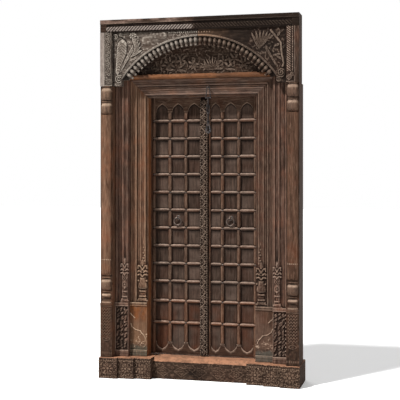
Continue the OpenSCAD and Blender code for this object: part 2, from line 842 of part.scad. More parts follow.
// The pear link: a short bar through the eye, two spreading legs and a straight foot.
module pear_link() {
    top = 8;
    head = [[-top, 0], [top, 0]];
    foot = [[-pear_w / 2, -pear_l], [pear_w / 2, -pear_l]];
    color(old_iron) in_depth() translate([chain_x, chain_set, chain_top_z]) {
        bar(head[0], head[1], chain_r);
        bar(head[1], foot[1], chain_r);
        bar(foot[1], foot[0], chain_r);
        bar(foot[0], head[0], chain_r);
    }
}

// A slim link in the plane of X and Z, hung from the bar at the origin, with the next bar one pitch below.
module slim_link() {
    far = link_pitch - chain_bend_r;
    rotate([90, 0, 0]) rotate_extrude(angle = 180) translate([chain_bend_r, 0]) circle(chain_r);
    for (x = [-chain_bend_r, chain_bend_r]) translate([x, 0, -far]) cylinder(r = chain_r, h = far);
    translate([0, 0, -far]) rotate([-90, 0, 0]) rotate_extrude(angle = 180)
        translate([chain_bend_r, 0]) circle(chain_r);
}

module link_at(z, turn) {
    color(old_iron) in_depth() translate([chain_x, chain_set, z]) rotate([0, 0, turn]) slim_link();
}

// The hasp: an eye of bar above a slotted plate with a round foot.
module hasp() {
    plate_t = 5;
    neck = 2 * chain_bend_r;
    slot_w = 11;
    slot_h = 30;
    round_r = hasp_w / 2;
    round_z = round_r - chain_bend_r - hasp_l;
    slot_z = round_z - 6;
    color(old_iron) in_depth() translate([chain_x, chain_set, hasp_z]) {
        rotate([90, 0, 0]) round_ring(chain_bend_r, chain_r);
        panel(-plate_t / 2, plate_t / 2) difference() {
            union() {
                translate([0, round_z]) circle(round_r);
                polygon([
                    [-neck / 2, -chain_bend_r - 2], [neck / 2, -chain_bend_r - 2],
                    [round_r, round_z], [-round_r, round_z]
                ]);
            }
            translate([-slot_w / 2, slot_z]) square([slot_w, slot_h]);
            translate([0, slot_z + slot_h]) circle(slot_w / 2);
            circle(chain_bend_r);
        }
    }
}

sill();
color(dark_wood) post(LEFT);  // left_post
color(dark_wood) post(RIGHT);  // right_post
color(red_wood) middle_jamb(LEFT);  // left_middle_jamb
color(red_wood) middle_jamb(RIGHT);  // right_middle_jamb
color(dark_wood) inner_jamb(LEFT);  // left_inner_jamb
color(dark_wood) inner_jamb(RIGHT);  // right_inner_jamb
lintel();
ledge();
color(grey_wood) spandrel(LEFT);  // left_spandrel
color(dark_wood) spandrel(RIGHT);  // right_spandrel
tympanum();
color(grey_wood) side_border(LEFT);  // left_border
color(dark_wood) side_border(RIGHT);  // right_border
head_border();
pivot_beam();
boards(LEFT);  // left_boards
boards(RIGHT);  // right_boards
stile(LEFT);  // left_stile
stile(RIGHT);  // right_stile
top_rail(LEFT);  // left_top_rail
top_rail(RIGHT);  // right_top_rail
bottom_rail(LEFT);  // left_bottom_rail
bottom_rail(RIGHT);  // right_bottom_rail
uprights(LEFT);  // left_uprights
uprights(RIGHT);  // right_uprights
cross_battens(LEFT);  // left_cross_battens
cross_battens(RIGHT);  // right_cross_battens
back_ledges(LEFT);  // left_back_ledges
back_ledges(RIGHT);  // right_back_ledges
nails(LEFT);  // left_nails
nails(RIGHT);  // right_nails
meeting_bead();
meeting_strip();
rose(LEFT);  // left_rose
rose(RIGHT);  // right_rose
ring_eye(LEFT);  // left_eye
ring_eye(RIGHT);  // right_eye
ring(LEFT);  // left_ring
ring(RIGHT);  // right_ring
chain_eye();
pear_link();
link_at(link_one_z, 90);  // link_one
link_at(link_two_z, 0);  // link_two
link_at(link_three_z, 90);  // link_three
hasp();
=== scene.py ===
"""Looks of the carved portal door: worn timber, forged iron, studio and camera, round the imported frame.

Shapes are worked out in millimetres: x to the right, d behind the border's face, z up from the floor.
"""
import functools
import math

import bpy
import numpy as np
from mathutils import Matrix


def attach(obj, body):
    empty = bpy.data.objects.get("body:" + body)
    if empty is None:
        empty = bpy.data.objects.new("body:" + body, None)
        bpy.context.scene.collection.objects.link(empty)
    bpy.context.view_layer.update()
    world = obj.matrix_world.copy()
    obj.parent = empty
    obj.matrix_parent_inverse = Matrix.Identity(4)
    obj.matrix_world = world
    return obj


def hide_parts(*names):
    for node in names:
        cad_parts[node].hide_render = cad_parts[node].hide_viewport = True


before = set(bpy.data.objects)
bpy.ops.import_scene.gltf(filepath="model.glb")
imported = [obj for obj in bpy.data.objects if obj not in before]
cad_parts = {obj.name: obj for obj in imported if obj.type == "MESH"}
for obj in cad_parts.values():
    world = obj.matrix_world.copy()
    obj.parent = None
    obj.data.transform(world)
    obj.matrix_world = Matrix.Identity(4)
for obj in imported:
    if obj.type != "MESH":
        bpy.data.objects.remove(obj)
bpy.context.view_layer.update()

LEFT, RIGHT = -1, 1
DEPTH_MID = 123.0

# Half widths from the centre line, heights from the floor, and the arch
HALF_OPEN, INNER_X, MIDDLE_X, POST_X, SILL_X = 386.0, 512.0, 612.0, 700.0, 706.0
SILL_H, PEDESTAL_Z, OPENING_TOP, LINTEL_TOP, LEDGE_TOP = 146.0, 522.0, 1962.0, 2088.0, 2120.0
SPRING_Z, FOOT_Z, BORDER_Z, PORTAL_H = 2080.0, 2038.0, 2412.0, 2500.0
ARCH_HALF, ARCH_RISE = 545.0, 286.0
ARCH_R = (ARCH_HALF ** 2 + ARCH_RISE ** 2) / (2 * ARCH_RISE)
ARCH_Z = SPRING_Z + ARCH_RISE - ARCH_R
RIM_W = 14.0

# Depths behind the border's face
SPANDREL_SET, PETAL_SET, LEDGE_SET, TYMPANUM_SET, FRAME_BACK = 14.0, 34.0, 62.0, 96.0, 192.0
BORDER_BACK, SILL_BACK = 140.0, 262.0
POST_SET, MIDDLE_SET, INNER_SET = 10.0, 73.0, 109.0

# The leaves: boards, batten grid, the pointed arches of the top rail and the scallops of the bottom rail
BOARD_SET, LEAF_Z, LEAF_TOP = 212.0, 152.0, 1975.0
UPRIGHTS, GRID_X, BOARD_X = (132.0, 249.0, 366.0), 353.0, 379.0
TOP_ROW_Z, ROW_PITCH = 1798.5, 126.0
ROWS = [TOP_ROW_Z - ROW_PITCH * i for i in range(10)] + [526.0, 373.0]
UPRIGHT_HALF, ROW_HALF = 12.0, 11.0
POINT_Z, POINT_H = OPENING_TOP - 102.0, 59.0
SCALLOP_Z, SCALLOP_H = SILL_H + 92.0, 54.0

# Columns of a skin that turn back behind its carved face, the least relief that counts as carved, and the
# angle in degrees from which an edge is shaded sharp
TURNED = 4
LEAST = 0.4
SHARP = 38


# Forms


def dome(dist, r):
    """Half round: the height of a unit half circle of radius r at a distance from its middle."""
    return np.sqrt(np.clip(1 - (dist / r) ** 2, 0, 1))


def ease(t):
    """Smooth step from 0 to 1."""
    t = np.clip(t, 0, 1)
    return t * t * (3 - 2 * t)


def tallest(*reliefs):
    """The highest of several reliefs at each place."""
    return functools.reduce(np.maximum, reliefs)


def lumps(x, z, size, seed):
    """Smooth unevenness from -1 to 1: a table of seeded random values, read at x / size and z / size and
    eased between its cells."""
    cells = 64
    table = np.random.default_rng(seed).uniform(-1, 1, (cells, cells))
    u, v = x / size, z / size
    i, j = np.floor(u).astype(int), np.floor(v).astype(int)
    f, g = ease(u - i), ease(v - j)
    i, j = i % cells, j % cells
    k, l = (i + 1) % cells, (j + 1) % cells
    low = table[i, j] * (1 - f) + table[k, j] * f
    high = table[i, l] * (1 - f) + table[k, l] * f
    return low * (1 - g) + high * g


def soften(a, steps):
    """Running mean of a grid over so many steps each way, first along one direction, then along the
    other."""
    for axis in (0, 1):
        ends = [a.take([0], axis)] * steps, [a.take([-1], axis)] * steps
        padded = np.concatenate([*ends[0], a, *ends[1]], axis)
        n = a.shape[axis]
        a = sum(padded.take(range(k, k + n), axis) for k in range(2 * steps + 1)) / (2 * steps + 1)
    return a


def stroke(x, z, points, r, h):
    """Half-round ridge of radius r and height h along a path: the nearest of its straight stretches
    counts."""
    best = np.full(np.shape(x), 1e9)
    for (ax, az), (bx, bz) in zip(points[:-1], points[1:]):
        run = (bx - ax) ** 2 + (bz - az) ** 2
        t = np.clip(((x - ax) * (bx - ax) + (z - az) * (bz - az)) / run, 0, 1)
        best = np.minimum(best, np.hypot(x - ax - t * (bx - ax), z - az - t * (bz - az)))
    return h * dome(best, r)


def leaf(x, z, foot, angle, l, w, h):
    """Pointed leaf from its foot at an angle in degrees from +x: half round across a width that swells as a
    sine, with a cut midrib and slanting veins."""
    a = math.radians(angle)
    u = (x - foot[0]) * math.cos(a) + (z - foot[1]) * math.sin(a)
    v = (z - foot[1]) * math.cos(a) - (x - foot[0]) * math.sin(a)
    half = w / 2 * np.sin(np.pi * np.clip(u / l, 0, 1)) ** 0.8 + 1e-6
    veins = 0.85 + 0.15 * np.cos((u + 1.3 * np.abs(v)) * 2 * np.pi / 9)
    rib = 1 - 0.5 * np.exp(-(v / 1.6) ** 2)
    return np.where((u > 0) & (u < l), h * dome(v, half) * veins * rib, 0)


def rosette(x, z, centre, r, count, h):
    """Ring of petals round a hub: the rim and the height follow the cosine of the angle times half the
    count."""
    rho = np.hypot(x - centre[0], z - centre[1])
    lobe = np.abs(np.cos(count / 2 * np.arctan2(z - centre[1], x - centre[0])))
    petals = h * dome(rho, r * (0.74 + 0.26 * lobe)) ** 0.7 * (0.4 + 0.6 * lobe)
    hub = 1.15 * h * dome(rho, 0.3 * r)
    gap = 1 - np.exp(-((rho - 0.33 * r) / (0.07 * r)) ** 2)
    return np.maximum(petals * gap, hub)


def spiral(x, z, centre, r, pitch, h, hand=1):
    """Rolled scroll: a ridge where the distance from the centre, less the turn, is a whole number of
    pitches."""
    rho = np.hypot(x - centre[0], z - centre[1])
    turn = hand * np.arctan2(z - centre[1], x - centre[0]) / (2 * np.pi)
    ridge = (0.5 + 0.5 * np.cos(2 * np.pi * (rho / pitch - turn))) ** 0.8
    return h * ridge * ease((r - rho) / (0.15 * r))


def vine(x, z, mid, span, reach, wave, r, h, leaves):
    """Winding stem up a narrow field: a sine of the height, with a scroll in each bend and leaves
    between."""
    z0, z1 = span
    zs = np.linspace(z0, z1, int((z1 - z0) / 6))
    path = list(zip(mid + reach * np.sin(2 * np.pi * (zs - z0) / wave), zs))
    out = stroke(x, z, path, r, h)
    for k in range(int(2 * (z1 - z0) / wave)):
        side = 1 if k % 2 == 0 else -1
        bend = z0 + (k + 0.5) * wave / 2
        foot = (mid + side * 0.9 * reach, bend)
        scroll = spiral(x, z, (mid - side * 0.35 * reach, bend), 1.2 * reach, 9.0, h, side)
        out = tallest(out, scroll, *(leaf(x, z, foot, a, leaves, 10, 0.9 * h) for a in (60, 120, 240, 300)))
    return out


# Meshes


def put(name, parts, body, replaced, finish):
    """Makes one piece from closed skins. A skin is a grid of rings in millimetres: quads join each ring to
    the next, and a flat face closes each end. Masks on the rings become the vertex attributes that the
    finishes read."""
    points, loops, starts, masks = [], [], [], {"hollow": [], "wear": [], "bare": [], "ash": [], "tone": []}
    base = at = 0
    for rings, given in parts:
        m, n = rings.shape[:2]
        index = np.arange(m * n).reshape(m, n)
        a, b = index[:-1], index[1:]
        quads = np.stack([a, np.roll(a, -1, 1), np.roll(b, -1, 1), b], -1).reshape(-1, 4)
        caps = np.stack([index[0][::-1], index[-1]])
        xyz = (rings - (0, DEPTH_MID, 0)).reshape(-1, 3) / 1000
        p = xyz[quads] - xyz.mean(0)
        volume = np.einsum("ij,ij->i", p[:, 0],
                           np.cross(p[:, 1], p[:, 2]) + np.cross(p[:, 2], p[:, 3])).sum()
        if volume < 0:
            quads, caps = quads[:, ::-1], caps[:, ::-1]
        points.append(xyz)
        loops += [quads.ravel() + base, caps.ravel() + base]
        starts += [at + 4 * np.arange(len(quads)), at + quads.size + n * np.arange(2)]
        at += quads.size + caps.size
        base += m * n
        for key, values in masks.items():
            values.append(np.broadcast_to(given.get(key, 0.0), (m, n)).ravel())
    mesh = bpy.data.meshes.new(name)
    points, loops, starts = np.concatenate(points), np.concatenate(loops), np.concatenate(starts)
    mesh.vertices.add(len(points))
    mesh.vertices.foreach_set("co", points.astype(np.float32).ravel())
    mesh.loops.add(len(loops))
    mesh.loops.foreach_set("vertex_index", loops.astype(np.int32))
    mesh.polygons.add(len(starts))
    mesh.polygons.foreach_set("loop_start", starts.astype(np.int32))
    mesh.polygons.foreach_set("use_smooth", np.ones(len(starts), bool))
    for key, values in masks.items():
        mask = mesh.attributes.new(key, "FLOAT", "POINT")
        mask.data.foreach_set("value", np.concatenate(values).astype(np.float32))
    mesh.update(calc_edges=True)
    mesh.set_sharp_from_angle(angle=math.radians(SHARP))
    piece = bpy.data.objects.new(name, mesh)
    bpy.context.scene.collection.objects.link(piece)
    mesh.materials.append(finish)
    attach(piece, body)
    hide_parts(*replaced)
    return piece


def carved(x, d, z, back, height, reach, depth, floor=None, sides=None, **given):
    """A carved timber as a skin: each row of the front grid turns back at both ends and is closed at the
    back's depth. Where the height lies under its own running mean, or under the floor level, the timber
    gets painted shade, and where it stands over its mean it is lighter, as wear and painted highlight.
    The turned-back sides have masks of their own."""
    front = np.stack(np.broadcast_arrays(x, d, z), -1).astype(float)
    m, n = front.shape[:2]
    turn = front[:, [-1, -1, 0, 0]].copy()
    turn[:, [0, 3], 1] += 1.2
    turn[:, [1, 2], 1] = back
    over = height - soften(height, reach)
    # Painted shade where the carving lies under its running mean, and under the floor level
    hollow = np.clip(-over / depth, 0, 1)
    if floor is not None:
        hollow = np.maximum(hollow, ease((floor - height) / depth))
    # Wear and painted highlight where the carving stands over its mean
    masks = {"hollow": hollow, "wear": np.clip(over / depth, 0, 1), **given}
    behind = {k: np.full((m, TURNED), (sides or {}).get(k, 0.0)) for k in masks}
    masks = {k: np.concatenate([np.broadcast_to(v, (m, n)), behind[k]], 1) for k, v in masks.items()}
    for v in masks.values():
        v[[0, -1]] = 0
    return np.concatenate([front, turn], 1), masks


def face_mask(skin, key):
    """The part of a skin's mask that lies on its carved face, as a view that can be changed."""
    return skin[1][key][:, :-TURNED]


def darken(skin, share):
    """Paints shade: makes a skin's carved face at least as dark as a share, through its mask of painted
    shade and stains.
    """
    deep = face_mask(skin, "hollow")
    deep[:] = np.maximum(deep, share)


def round_edge(u, w, r):
    """How far a face falls back within r of either edge of its width w, as a quarter circle."""
    near = np.clip(r - np.minimum(u, w - u), 0, r)
    return r - np.sqrt(r * r - near * near)


def spaced(w, step, edge=3.0):
    """Places across a width, one about every step, closer together at both edges."""
    inner = np.linspace(edge, w - edge, max(2, int(round((w - 2 * edge) / step)) + 1))
    close = edge * np.array([0, 0.12, 0.35, 0.65])
    return np.concatenate([close, inner, w - close[::-1]])


def tendrils(x, z, size, seed, h):
    """Thin winding ridges of height h, broken into strokes: they follow the lines where smooth unevenness,
    read on turned axes at two sizes, crosses zero, and fade where a third, finer one is low."""
    u, v = 0.8 * x + 0.6 * z, 0.8 * z - 0.6 * x
    level = lumps(u, v, 1.3 * size, seed) + 0.7 * lumps(x, z, 0.8 * size, seed + 25)
    return h * (1 - np.clip(np.abs(level), 0, 1)) ** 4 * ease(0.7 + 1.5 * lumps(v, u, 0.7 * size,
                                                                                seed + 50))


def bulb(v, z, stations, h):
    """Rounded body of height h about an upright middle line: its half width is read by height from the
    stations."""
    zs, halves = np.array(stations, float).T
    half = np.interp(z, zs, halves, 0.01, 0.01)
    return h * dome(v, half)


# Finishes


def group(name, sockets_in, sockets_out):
    """A shader node group with its named sockets."""
    tree = bpy.data.node_groups.new(name, "ShaderNodeTree")
    for label, kind, default in sockets_in:
        socket = tree.interface.new_socket(label, in_out="INPUT", socket_type=kind)
        socket.default_value = default
    for label, kind in sockets_out:
        tree.interface.new_socket(label, in_out="OUTPUT", socket_type=kind)
    return tree, tree.nodes.new("NodeGroupInput"), tree.nodes.new("NodeGroupOutput")


def node(tree, kind, inputs=None, **settings):
    """A node with its settings, and each input set to a value or linked from another node's output."""
    made = tree.nodes.new(kind)
    for key, value in settings.items():
        setattr(made, key, value)
    for key, value in (inputs or {}).items():
        if isinstance(value, bpy.types.NodeSocket):
            tree.links.new(value, made.inputs[key])
        else:
            made.inputs[key].default_value = value
    return made


def mixed(tree, share, a, b):
    """A blend of two colours by a share."""
    return node(tree, "ShaderNodeMix", {0: share, 6: a, 7: b}, data_type="RGBA").outputs[2]


def graded(tree, value, low, high, to_low=0.0, to_high=1.0):
    """A value taken from one range to another, and held at its ends."""
    values = {"Value": value, "From Min": low, "From Max": high, "To Min": to_low, "To Max": to_high}
    return node(tree, "ShaderNodeMapRange", values).outputs["Result"]


def maths(tree, how, a, b):
    """One step of arithmetic on two values, held between 0 and 1."""
    return node(tree, "ShaderNodeMath", {0: a, 1: b}, operation=how, use_clamp=True).outputs[0]


def noise(tree, place, scale, detail, rough=0.5, bend=0.0):
    """Soft random values over a place."""
    values = {"Vector": place, "Scale": scale, "Detail": detail, "Roughness": rough, "Distortion": bend}
    return node(tree, "ShaderNodeTexNoise", values).outputs[0]


def weathered_timber():
    """Group: streaked grain along the timber, blotches, crests lightened as wear and painted highlight,
    painted shade in hollows along with dark stains, bare places that also carry painted light, and ashen
    places."""
    colour, number = "NodeSocketColor", "NodeSocketFloat"
    grey = (0.2, 0.2, 0.2, 1)
    tints = ("Deep", "Body", "Pale", "Crest", "Blotch", "Bare", "Tan", "Ash")
    tree, given, out = group("weathered_timber", [
        ("Grain", "NodeSocketVector", (1, 1, 1)),
        *((label, colour, grey) for label in tints),
        ("Soot", colour, (0.008, 0.006, 0.005, 1)), ("Rub", number, 0.6), ("Shade", number, 0.85),
    ], [("Colour", colour), ("Roughness", number), ("Height", number)])

    def times(a, b):
        """The product of two values."""
        return maths(tree, "MULTIPLY", a, b)

    place = node(tree, "ShaderNodeTexCoord").outputs["Object"]
    along = node(tree, "ShaderNodeMapping", {"Vector": place, "Scale": given.outputs["Grain"]}).outputs[0]
    streak = noise(tree, along, 1.0, 5.0, 0.62, 0.6)
    fine = noise(tree, along, 4.6, 4.0, 0.7)
    broad = noise(tree, place, 6.5, 4.0, 0.6)
    spot = noise(tree, place, 46.0, 3.0, 0.65)
    mask = {k: node(tree, "ShaderNodeAttribute", attribute_name=k).outputs["Fac"]
            for k in ("hollow", "wear", "bare", "ash", "tone")}
    worn = times(graded(tree, spot, 0.3, 0.62), mask["bare"])
    # Wear and painted highlight on the crests
    rubbed = times(mask["wear"], graded(tree, spot, 0.3, 0.6, 0.35, 1.0))
    # Layers over the grain: the crest layer paints wear and highlight; the first near-black layer paints
    # shade and stains, the second dark grain flecks
    layers = (
        (graded(tree, broad, 0.5, 0.68, 0.0, 0.75), "Blotch"),
        (times(mask["tone"], graded(tree, spot, 0.25, 0.6, 0.55, 1.0)), "Tan"),
        (maths(tree, "ADD", worn, times(mask["bare"], 0.5)), "Bare"),
        (times(mask["ash"], graded(tree, spot, 0.25, 0.6, 0.5, 1.0)), "Ash"),
        (graded(tree, fine, 0.5, 0.75, 0.0, 0.55), "Pale"),
        (times(rubbed, given.outputs["Rub"]), "Crest"),
        (times(mask["hollow"], given.outputs["Shade"]), "Soot"),
        (graded(tree, fine, 0.42, 0.3, 0.0, 0.6), "Soot"),
    )
    shade = mixed(tree, graded(tree, streak, 0.36, 0.64), given.outputs["Deep"], given.outputs["Body"])
    for share, label in layers:
        shade = mixed(tree, share, shade, given.outputs[label])
    tree.links.new(shade, out.inputs["Colour"])
    rough = graded(tree, streak, 0.3, 0.7, 0.66, 0.5)
    tree.links.new(maths(tree, "SUBTRACT", rough, times(mask["wear"], 0.1)), out.inputs["Roughness"])
    tree.links.new(maths(tree, "ADD", times(fine, 0.6), times(spot, 0.25)), out.inputs["Height"])
    return tree


def forged_iron():
    """Group: hammered dark iron with brown rust in blotches and lighter rubbed spots."""
    colour, number = "NodeSocketColor", "NodeSocketFloat"
    tree, given, out = group("forged_iron", [
        ("Iron", colour, (0.05, 0.045, 0.042, 1)), ("Rust", colour, (0.09, 0.042, 0.02, 1)),
        ("Rubbed", colour, (0.16, 0.15, 0.14, 1)),
    ], [("Colour", colour), ("Roughness", number), ("Metallic", number), ("Height", number)])
    place = node(tree, "ShaderNodeTexCoord").outputs["Object"]
    dents = noise(tree, place, 140.0, 3.0)
    blotch = noise(tree, place, 60.0, 5.0)
    rust = graded(tree, blotch, 0.48, 0.62)
    shade = mixed(tree, graded(tree, dents, 0.5, 0.7), given.outputs["Iron"], given.outputs["Rubbed"])
    tree.links.new(mixed(tree, rust, shade, given.outputs["Rust"]), out.inputs["Colour"])
    tree.links.new(graded(tree, rust, 0, 1, 0.42, 0.75), out.inputs["Roughness"])
    tree.links.new(graded(tree, rust, 0, 1, 0.85, 0.25), out.inputs["Metallic"])
    tree.links.new(dents, out.inputs["Height"])
    return tree


TIMBER, IRON = weathered_timber(), forged_iron()
TIMBER_BUMP, TIMBER_GLOSS = 0.0012, 0.02
IRON_BUMP, IRON_GLOSS = 0.0006, 0.5
UPRIGHT_GRAIN, LEVEL_GRAIN = (46.0, 46.0, 3.2), (3.2, 46.0, 46.0)


def finish(name, tree, bump, gloss, **values):
    """A material: one finish group in a Principled shader, with the group's height as bump."""
    made = bpy.data.materials.new(name)
    made.use_nodes = True
    nodes = made.node_tree
    shader = nodes.nodes["Principled BSDF"]
    shader.inputs["Specular IOR Level"].default_value = gloss
    look = nodes.nodes.new("ShaderNodeGroup")
    look.node_tree = tree
    for key, value in values.items():
        look.inputs[key].default_value = value
    raised = node(nodes, "ShaderNodeBump",
                  {"Height": look.outputs["Height"], "Strength": 0.7, "Distance": bump})
    nodes.links.new(look.outputs["Colour"], shader.inputs["Base Color"])
    nodes.links.new(look.outputs["Roughness"], shader.inputs["Roughness"])
    nodes.links.new(raised.outputs[0], shader.inputs["Normal"])
    if "Metallic" in look.outputs:
        nodes.links.new(look.outputs["Metallic"], shader.inputs["Metallic"])
    return made


def rgb(r, g, b):
    """A colour from screen values of 0 to 255, as linear light."""
    c = np.array([r, g, b]) / 255
    return (*np.where(c <= 0.04045, c / 12.92, ((c + 0.055) / 1.055) ** 2.4), 1.0)


def wood(name, grain, deep, body, pale, blotch, crest=None,
         bare=(150, 92, 52), tan=(150, 116, 90), ash=(92, 92, 82), **more):
    """A timber finish from its screen colours; crests, lightened as wear and painted highlight, are of the
    pale colour where none is given.
    """
    return finish(name, TIMBER, TIMBER_BUMP, TIMBER_GLOSS, Grain=grain, Deep=rgb(*deep), Body=rgb(*body),
                  Pale=rgb(*pale), Crest=rgb(*(crest or pale)), Blotch=rgb(*blotch), Bare=rgb(*bare),
                  Tan=rgb(*tan), Ash=rgb(*ash), **more)


def forged(name, **colours):
    """An iron finish from its screen colours."""
    return finish(name, IRON, IRON_BUMP, IRON_GLOSS, **{key: rgb(*value) for key, value in colours.items()})


DARK = dict(deep=(46, 33, 26), body=(74, 55, 44), pale=(150, 126, 108), blotch=(68, 44, 33))
BROWN = dict(deep=(52, 36, 28), body=(84, 61, 48), pale=(140, 112, 92), blotch=(86, 54, 39))
# A lighter, lit copy that stands for painted light, used on the left jamb and post
LIGHT = dict(deep=(64, 44, 33), body=(106, 78, 61), pale=(156, 126, 104), blotch=(110, 70, 50))
SHADED = dict(deep=(44, 31, 25), body=(76, 57, 47), pale=(130, 106, 90), blotch=(82, 52, 40))
GREY = dict(deep=(56, 47, 41), body=(95, 84, 75), pale=(182, 171, 157), blotch=(82, 68, 59))
DIM = dict(deep=(36, 27, 22), body=(58, 45, 38), pale=(96, 78, 67), blotch=(52, 36, 29))
# Darkest timber, darkened further as painted shade: the right spandrel, the tympanum and the head border
BLACKENED = dict(deep=(32, 23, 18), body=(52, 39, 31), pale=(118, 100, 86), blotch=(50, 33, 25))
RED = dict(deep=(54, 38, 31), body=(96, 71, 59), pale=(150, 125, 110), blotch=(106, 70, 54))
WORN = dict(deep=(52, 39, 31), body=(70, 53, 43), pale=(132, 108, 90), blotch=(56, 38, 30))
RUBBED = dict(deep=(58, 40, 30), body=(90, 62, 45), pale=(140, 106, 82), blotch=(76, 46, 32))

# Masks on the turned-back columns of a step: painted shade on the outer side, painted warm light in the bare
# colour on the opening's side
STEP_FACE = {"bare": (0, 0, 0.8, 0.8), "hollow": (0.55, 0.55, 0, 0)}

# The left jamb and post take a lit copy (painted light); the right jamb, post, border and spandrel darker
# copies (painted shade)
inner_left = wood("jamb_timber_left", UPRIGHT_GRAIN, crest=(214, 184, 154), bare=(116, 70, 40),
                  tan=(112, 83, 62), ash=(72, 72, 62), Rub=0.9, **LIGHT)
inner_right = wood("jamb_timber_right", UPRIGHT_GRAIN, crest=(188, 160, 138), bare=(100, 68, 50),
                   tan=(92, 70, 58), ash=(84, 80, 72), Rub=0.9, **SHADED)
middle_upright = wood("middle_jamb_timber", UPRIGHT_GRAIN, crest=(176, 152, 134), **RED)
post_left = wood("post_timber_left", UPRIGHT_GRAIN, crest=(190, 164, 140), ash=(98, 84, 72), **LIGHT)
post_right = wood("post_timber_right", UPRIGHT_GRAIN, crest=(176, 150, 130), ash=(92, 76, 66), **BROWN)
batten_upright = wood("batten_upright", UPRIGHT_GRAIN, tan=(92, 54, 34), crest=(120, 96, 80), **DARK)
batten_level = wood("batten_level", LEVEL_GRAIN, tan=(108, 70, 50), deep=(42, 33, 28), body=(70, 56, 48),
                    pale=(136, 116, 103), crest=(168, 146, 130), blotch=(72, 49, 38))
brown_upright = wood("brown_timber_upright", UPRIGHT_GRAIN, **BROWN)
brown_level = wood("brown_timber_level", LEVEL_GRAIN, **BROWN)
lintel_level = wood("lintel_timber", LEVEL_GRAIN, deep=(58, 45, 38), body=(92, 73, 63),
                    pale=(148, 126, 112), blotch=(88, 63, 51))
rail_top = wood("top_rail_timber", LEVEL_GRAIN, **DARK)
rail_foot = wood("bottom_rail_timber", LEVEL_GRAIN, crest=(192, 164, 144), deep=(38, 26, 21),
                 body=(60, 43, 34), pale=(112, 88, 72), blotch=(64, 40, 29))
grey_upright = wood("grey_timber_upright", UPRIGHT_GRAIN, ash=(150, 138, 130), **GREY)
grey_level = wood("grey_timber_level", LEVEL_GRAIN, crest=(200, 188, 174), tan=(54, 43, 36), **GREY)
black_level = wood("blackened_timber_level", LEVEL_GRAIN, crest=(150, 130, 114), **BLACKENED)
border_level = wood("border_timber_level", LEVEL_GRAIN, ash=(170, 160, 154), bare=(132, 108, 96),
                    **BLACKENED)
border_upright = wood("border_timber_upright", UPRIGHT_GRAIN, deep=(34, 25, 20), body=(60, 46, 38),
                      pale=(112, 92, 79), crest=(186, 160, 142), blotch=(66, 43, 33))
bead_upright = wood("bead_timber_upright", UPRIGHT_GRAIN, deep=(50, 39, 32), body=(76, 61, 51),
                    pale=(140, 121, 106), crest=(152, 131, 115), blotch=(72, 52, 40))
board_upright = wood("board_timber_upright", UPRIGHT_GRAIN, tan=(74, 44, 31), ash=(92, 77, 68), **DIM)
sill_level = wood("worn_sill_timber", LEVEL_GRAIN, bare=(156, 112, 86), crest=(164, 137, 115), **WORN)
ledge_level = wood("rubbed_ledge_timber", LEVEL_GRAIN, bare=(130, 84, 54), **RUBBED)
iron = forged("forged_iron")
chain_iron = forged("chain_iron", Iron=(40, 38, 38), Rust=(50, 38, 32), Rubbed=(92, 88, 88))
rubbed_iron = forged("rubbed_iron", Iron=(72, 63, 58), Rust=(74, 54, 43), Rubbed=(122, 108, 98))


# The frame's carved timbers


def inner_profile(u):
    """Depth of the inner order across its width: an edge, a beaded band, a groove and a second beaded band,
    with fine reeds cut in the bands."""
    band, groove = INNER_SET + 9, INNER_SET + 13
    d = np.where(u < 14, INNER_SET + 20, np.where(u < 60, band, np.where(u < 78, groove, INNER_SET)))
    for mid, face in ((20, band), (54, band), (84, INNER_SET), (120, INNER_SET)):
        d = np.where(np.abs(u - mid) < 6, np.minimum(d, face - 4 * dome(u - mid, 6.0)), d)
    for mid in (31, 37, 43, 95, 102, 109):
        d = d + 2.2 * np.exp(-((u - mid) / 1.3) ** 2)
    return d - 4.5 * dome(u - 69, 5.0)


def middle_profile(u):
    """Depth of the middle order across its width: three round beads with fine reeds between."""
    d = np.full(np.shape(u), MIDDLE_SET)
    for mid in (11, 42, 89):
        d = np.minimum(d, MIDDLE_SET - 7 * dome(u - mid, 7.0))
    for mid in (22, 28, 55, 61, 67, 73, 79):
        d = d + 1.8 * np.exp(-((u - mid) / 1.2) ** 2)
    return d


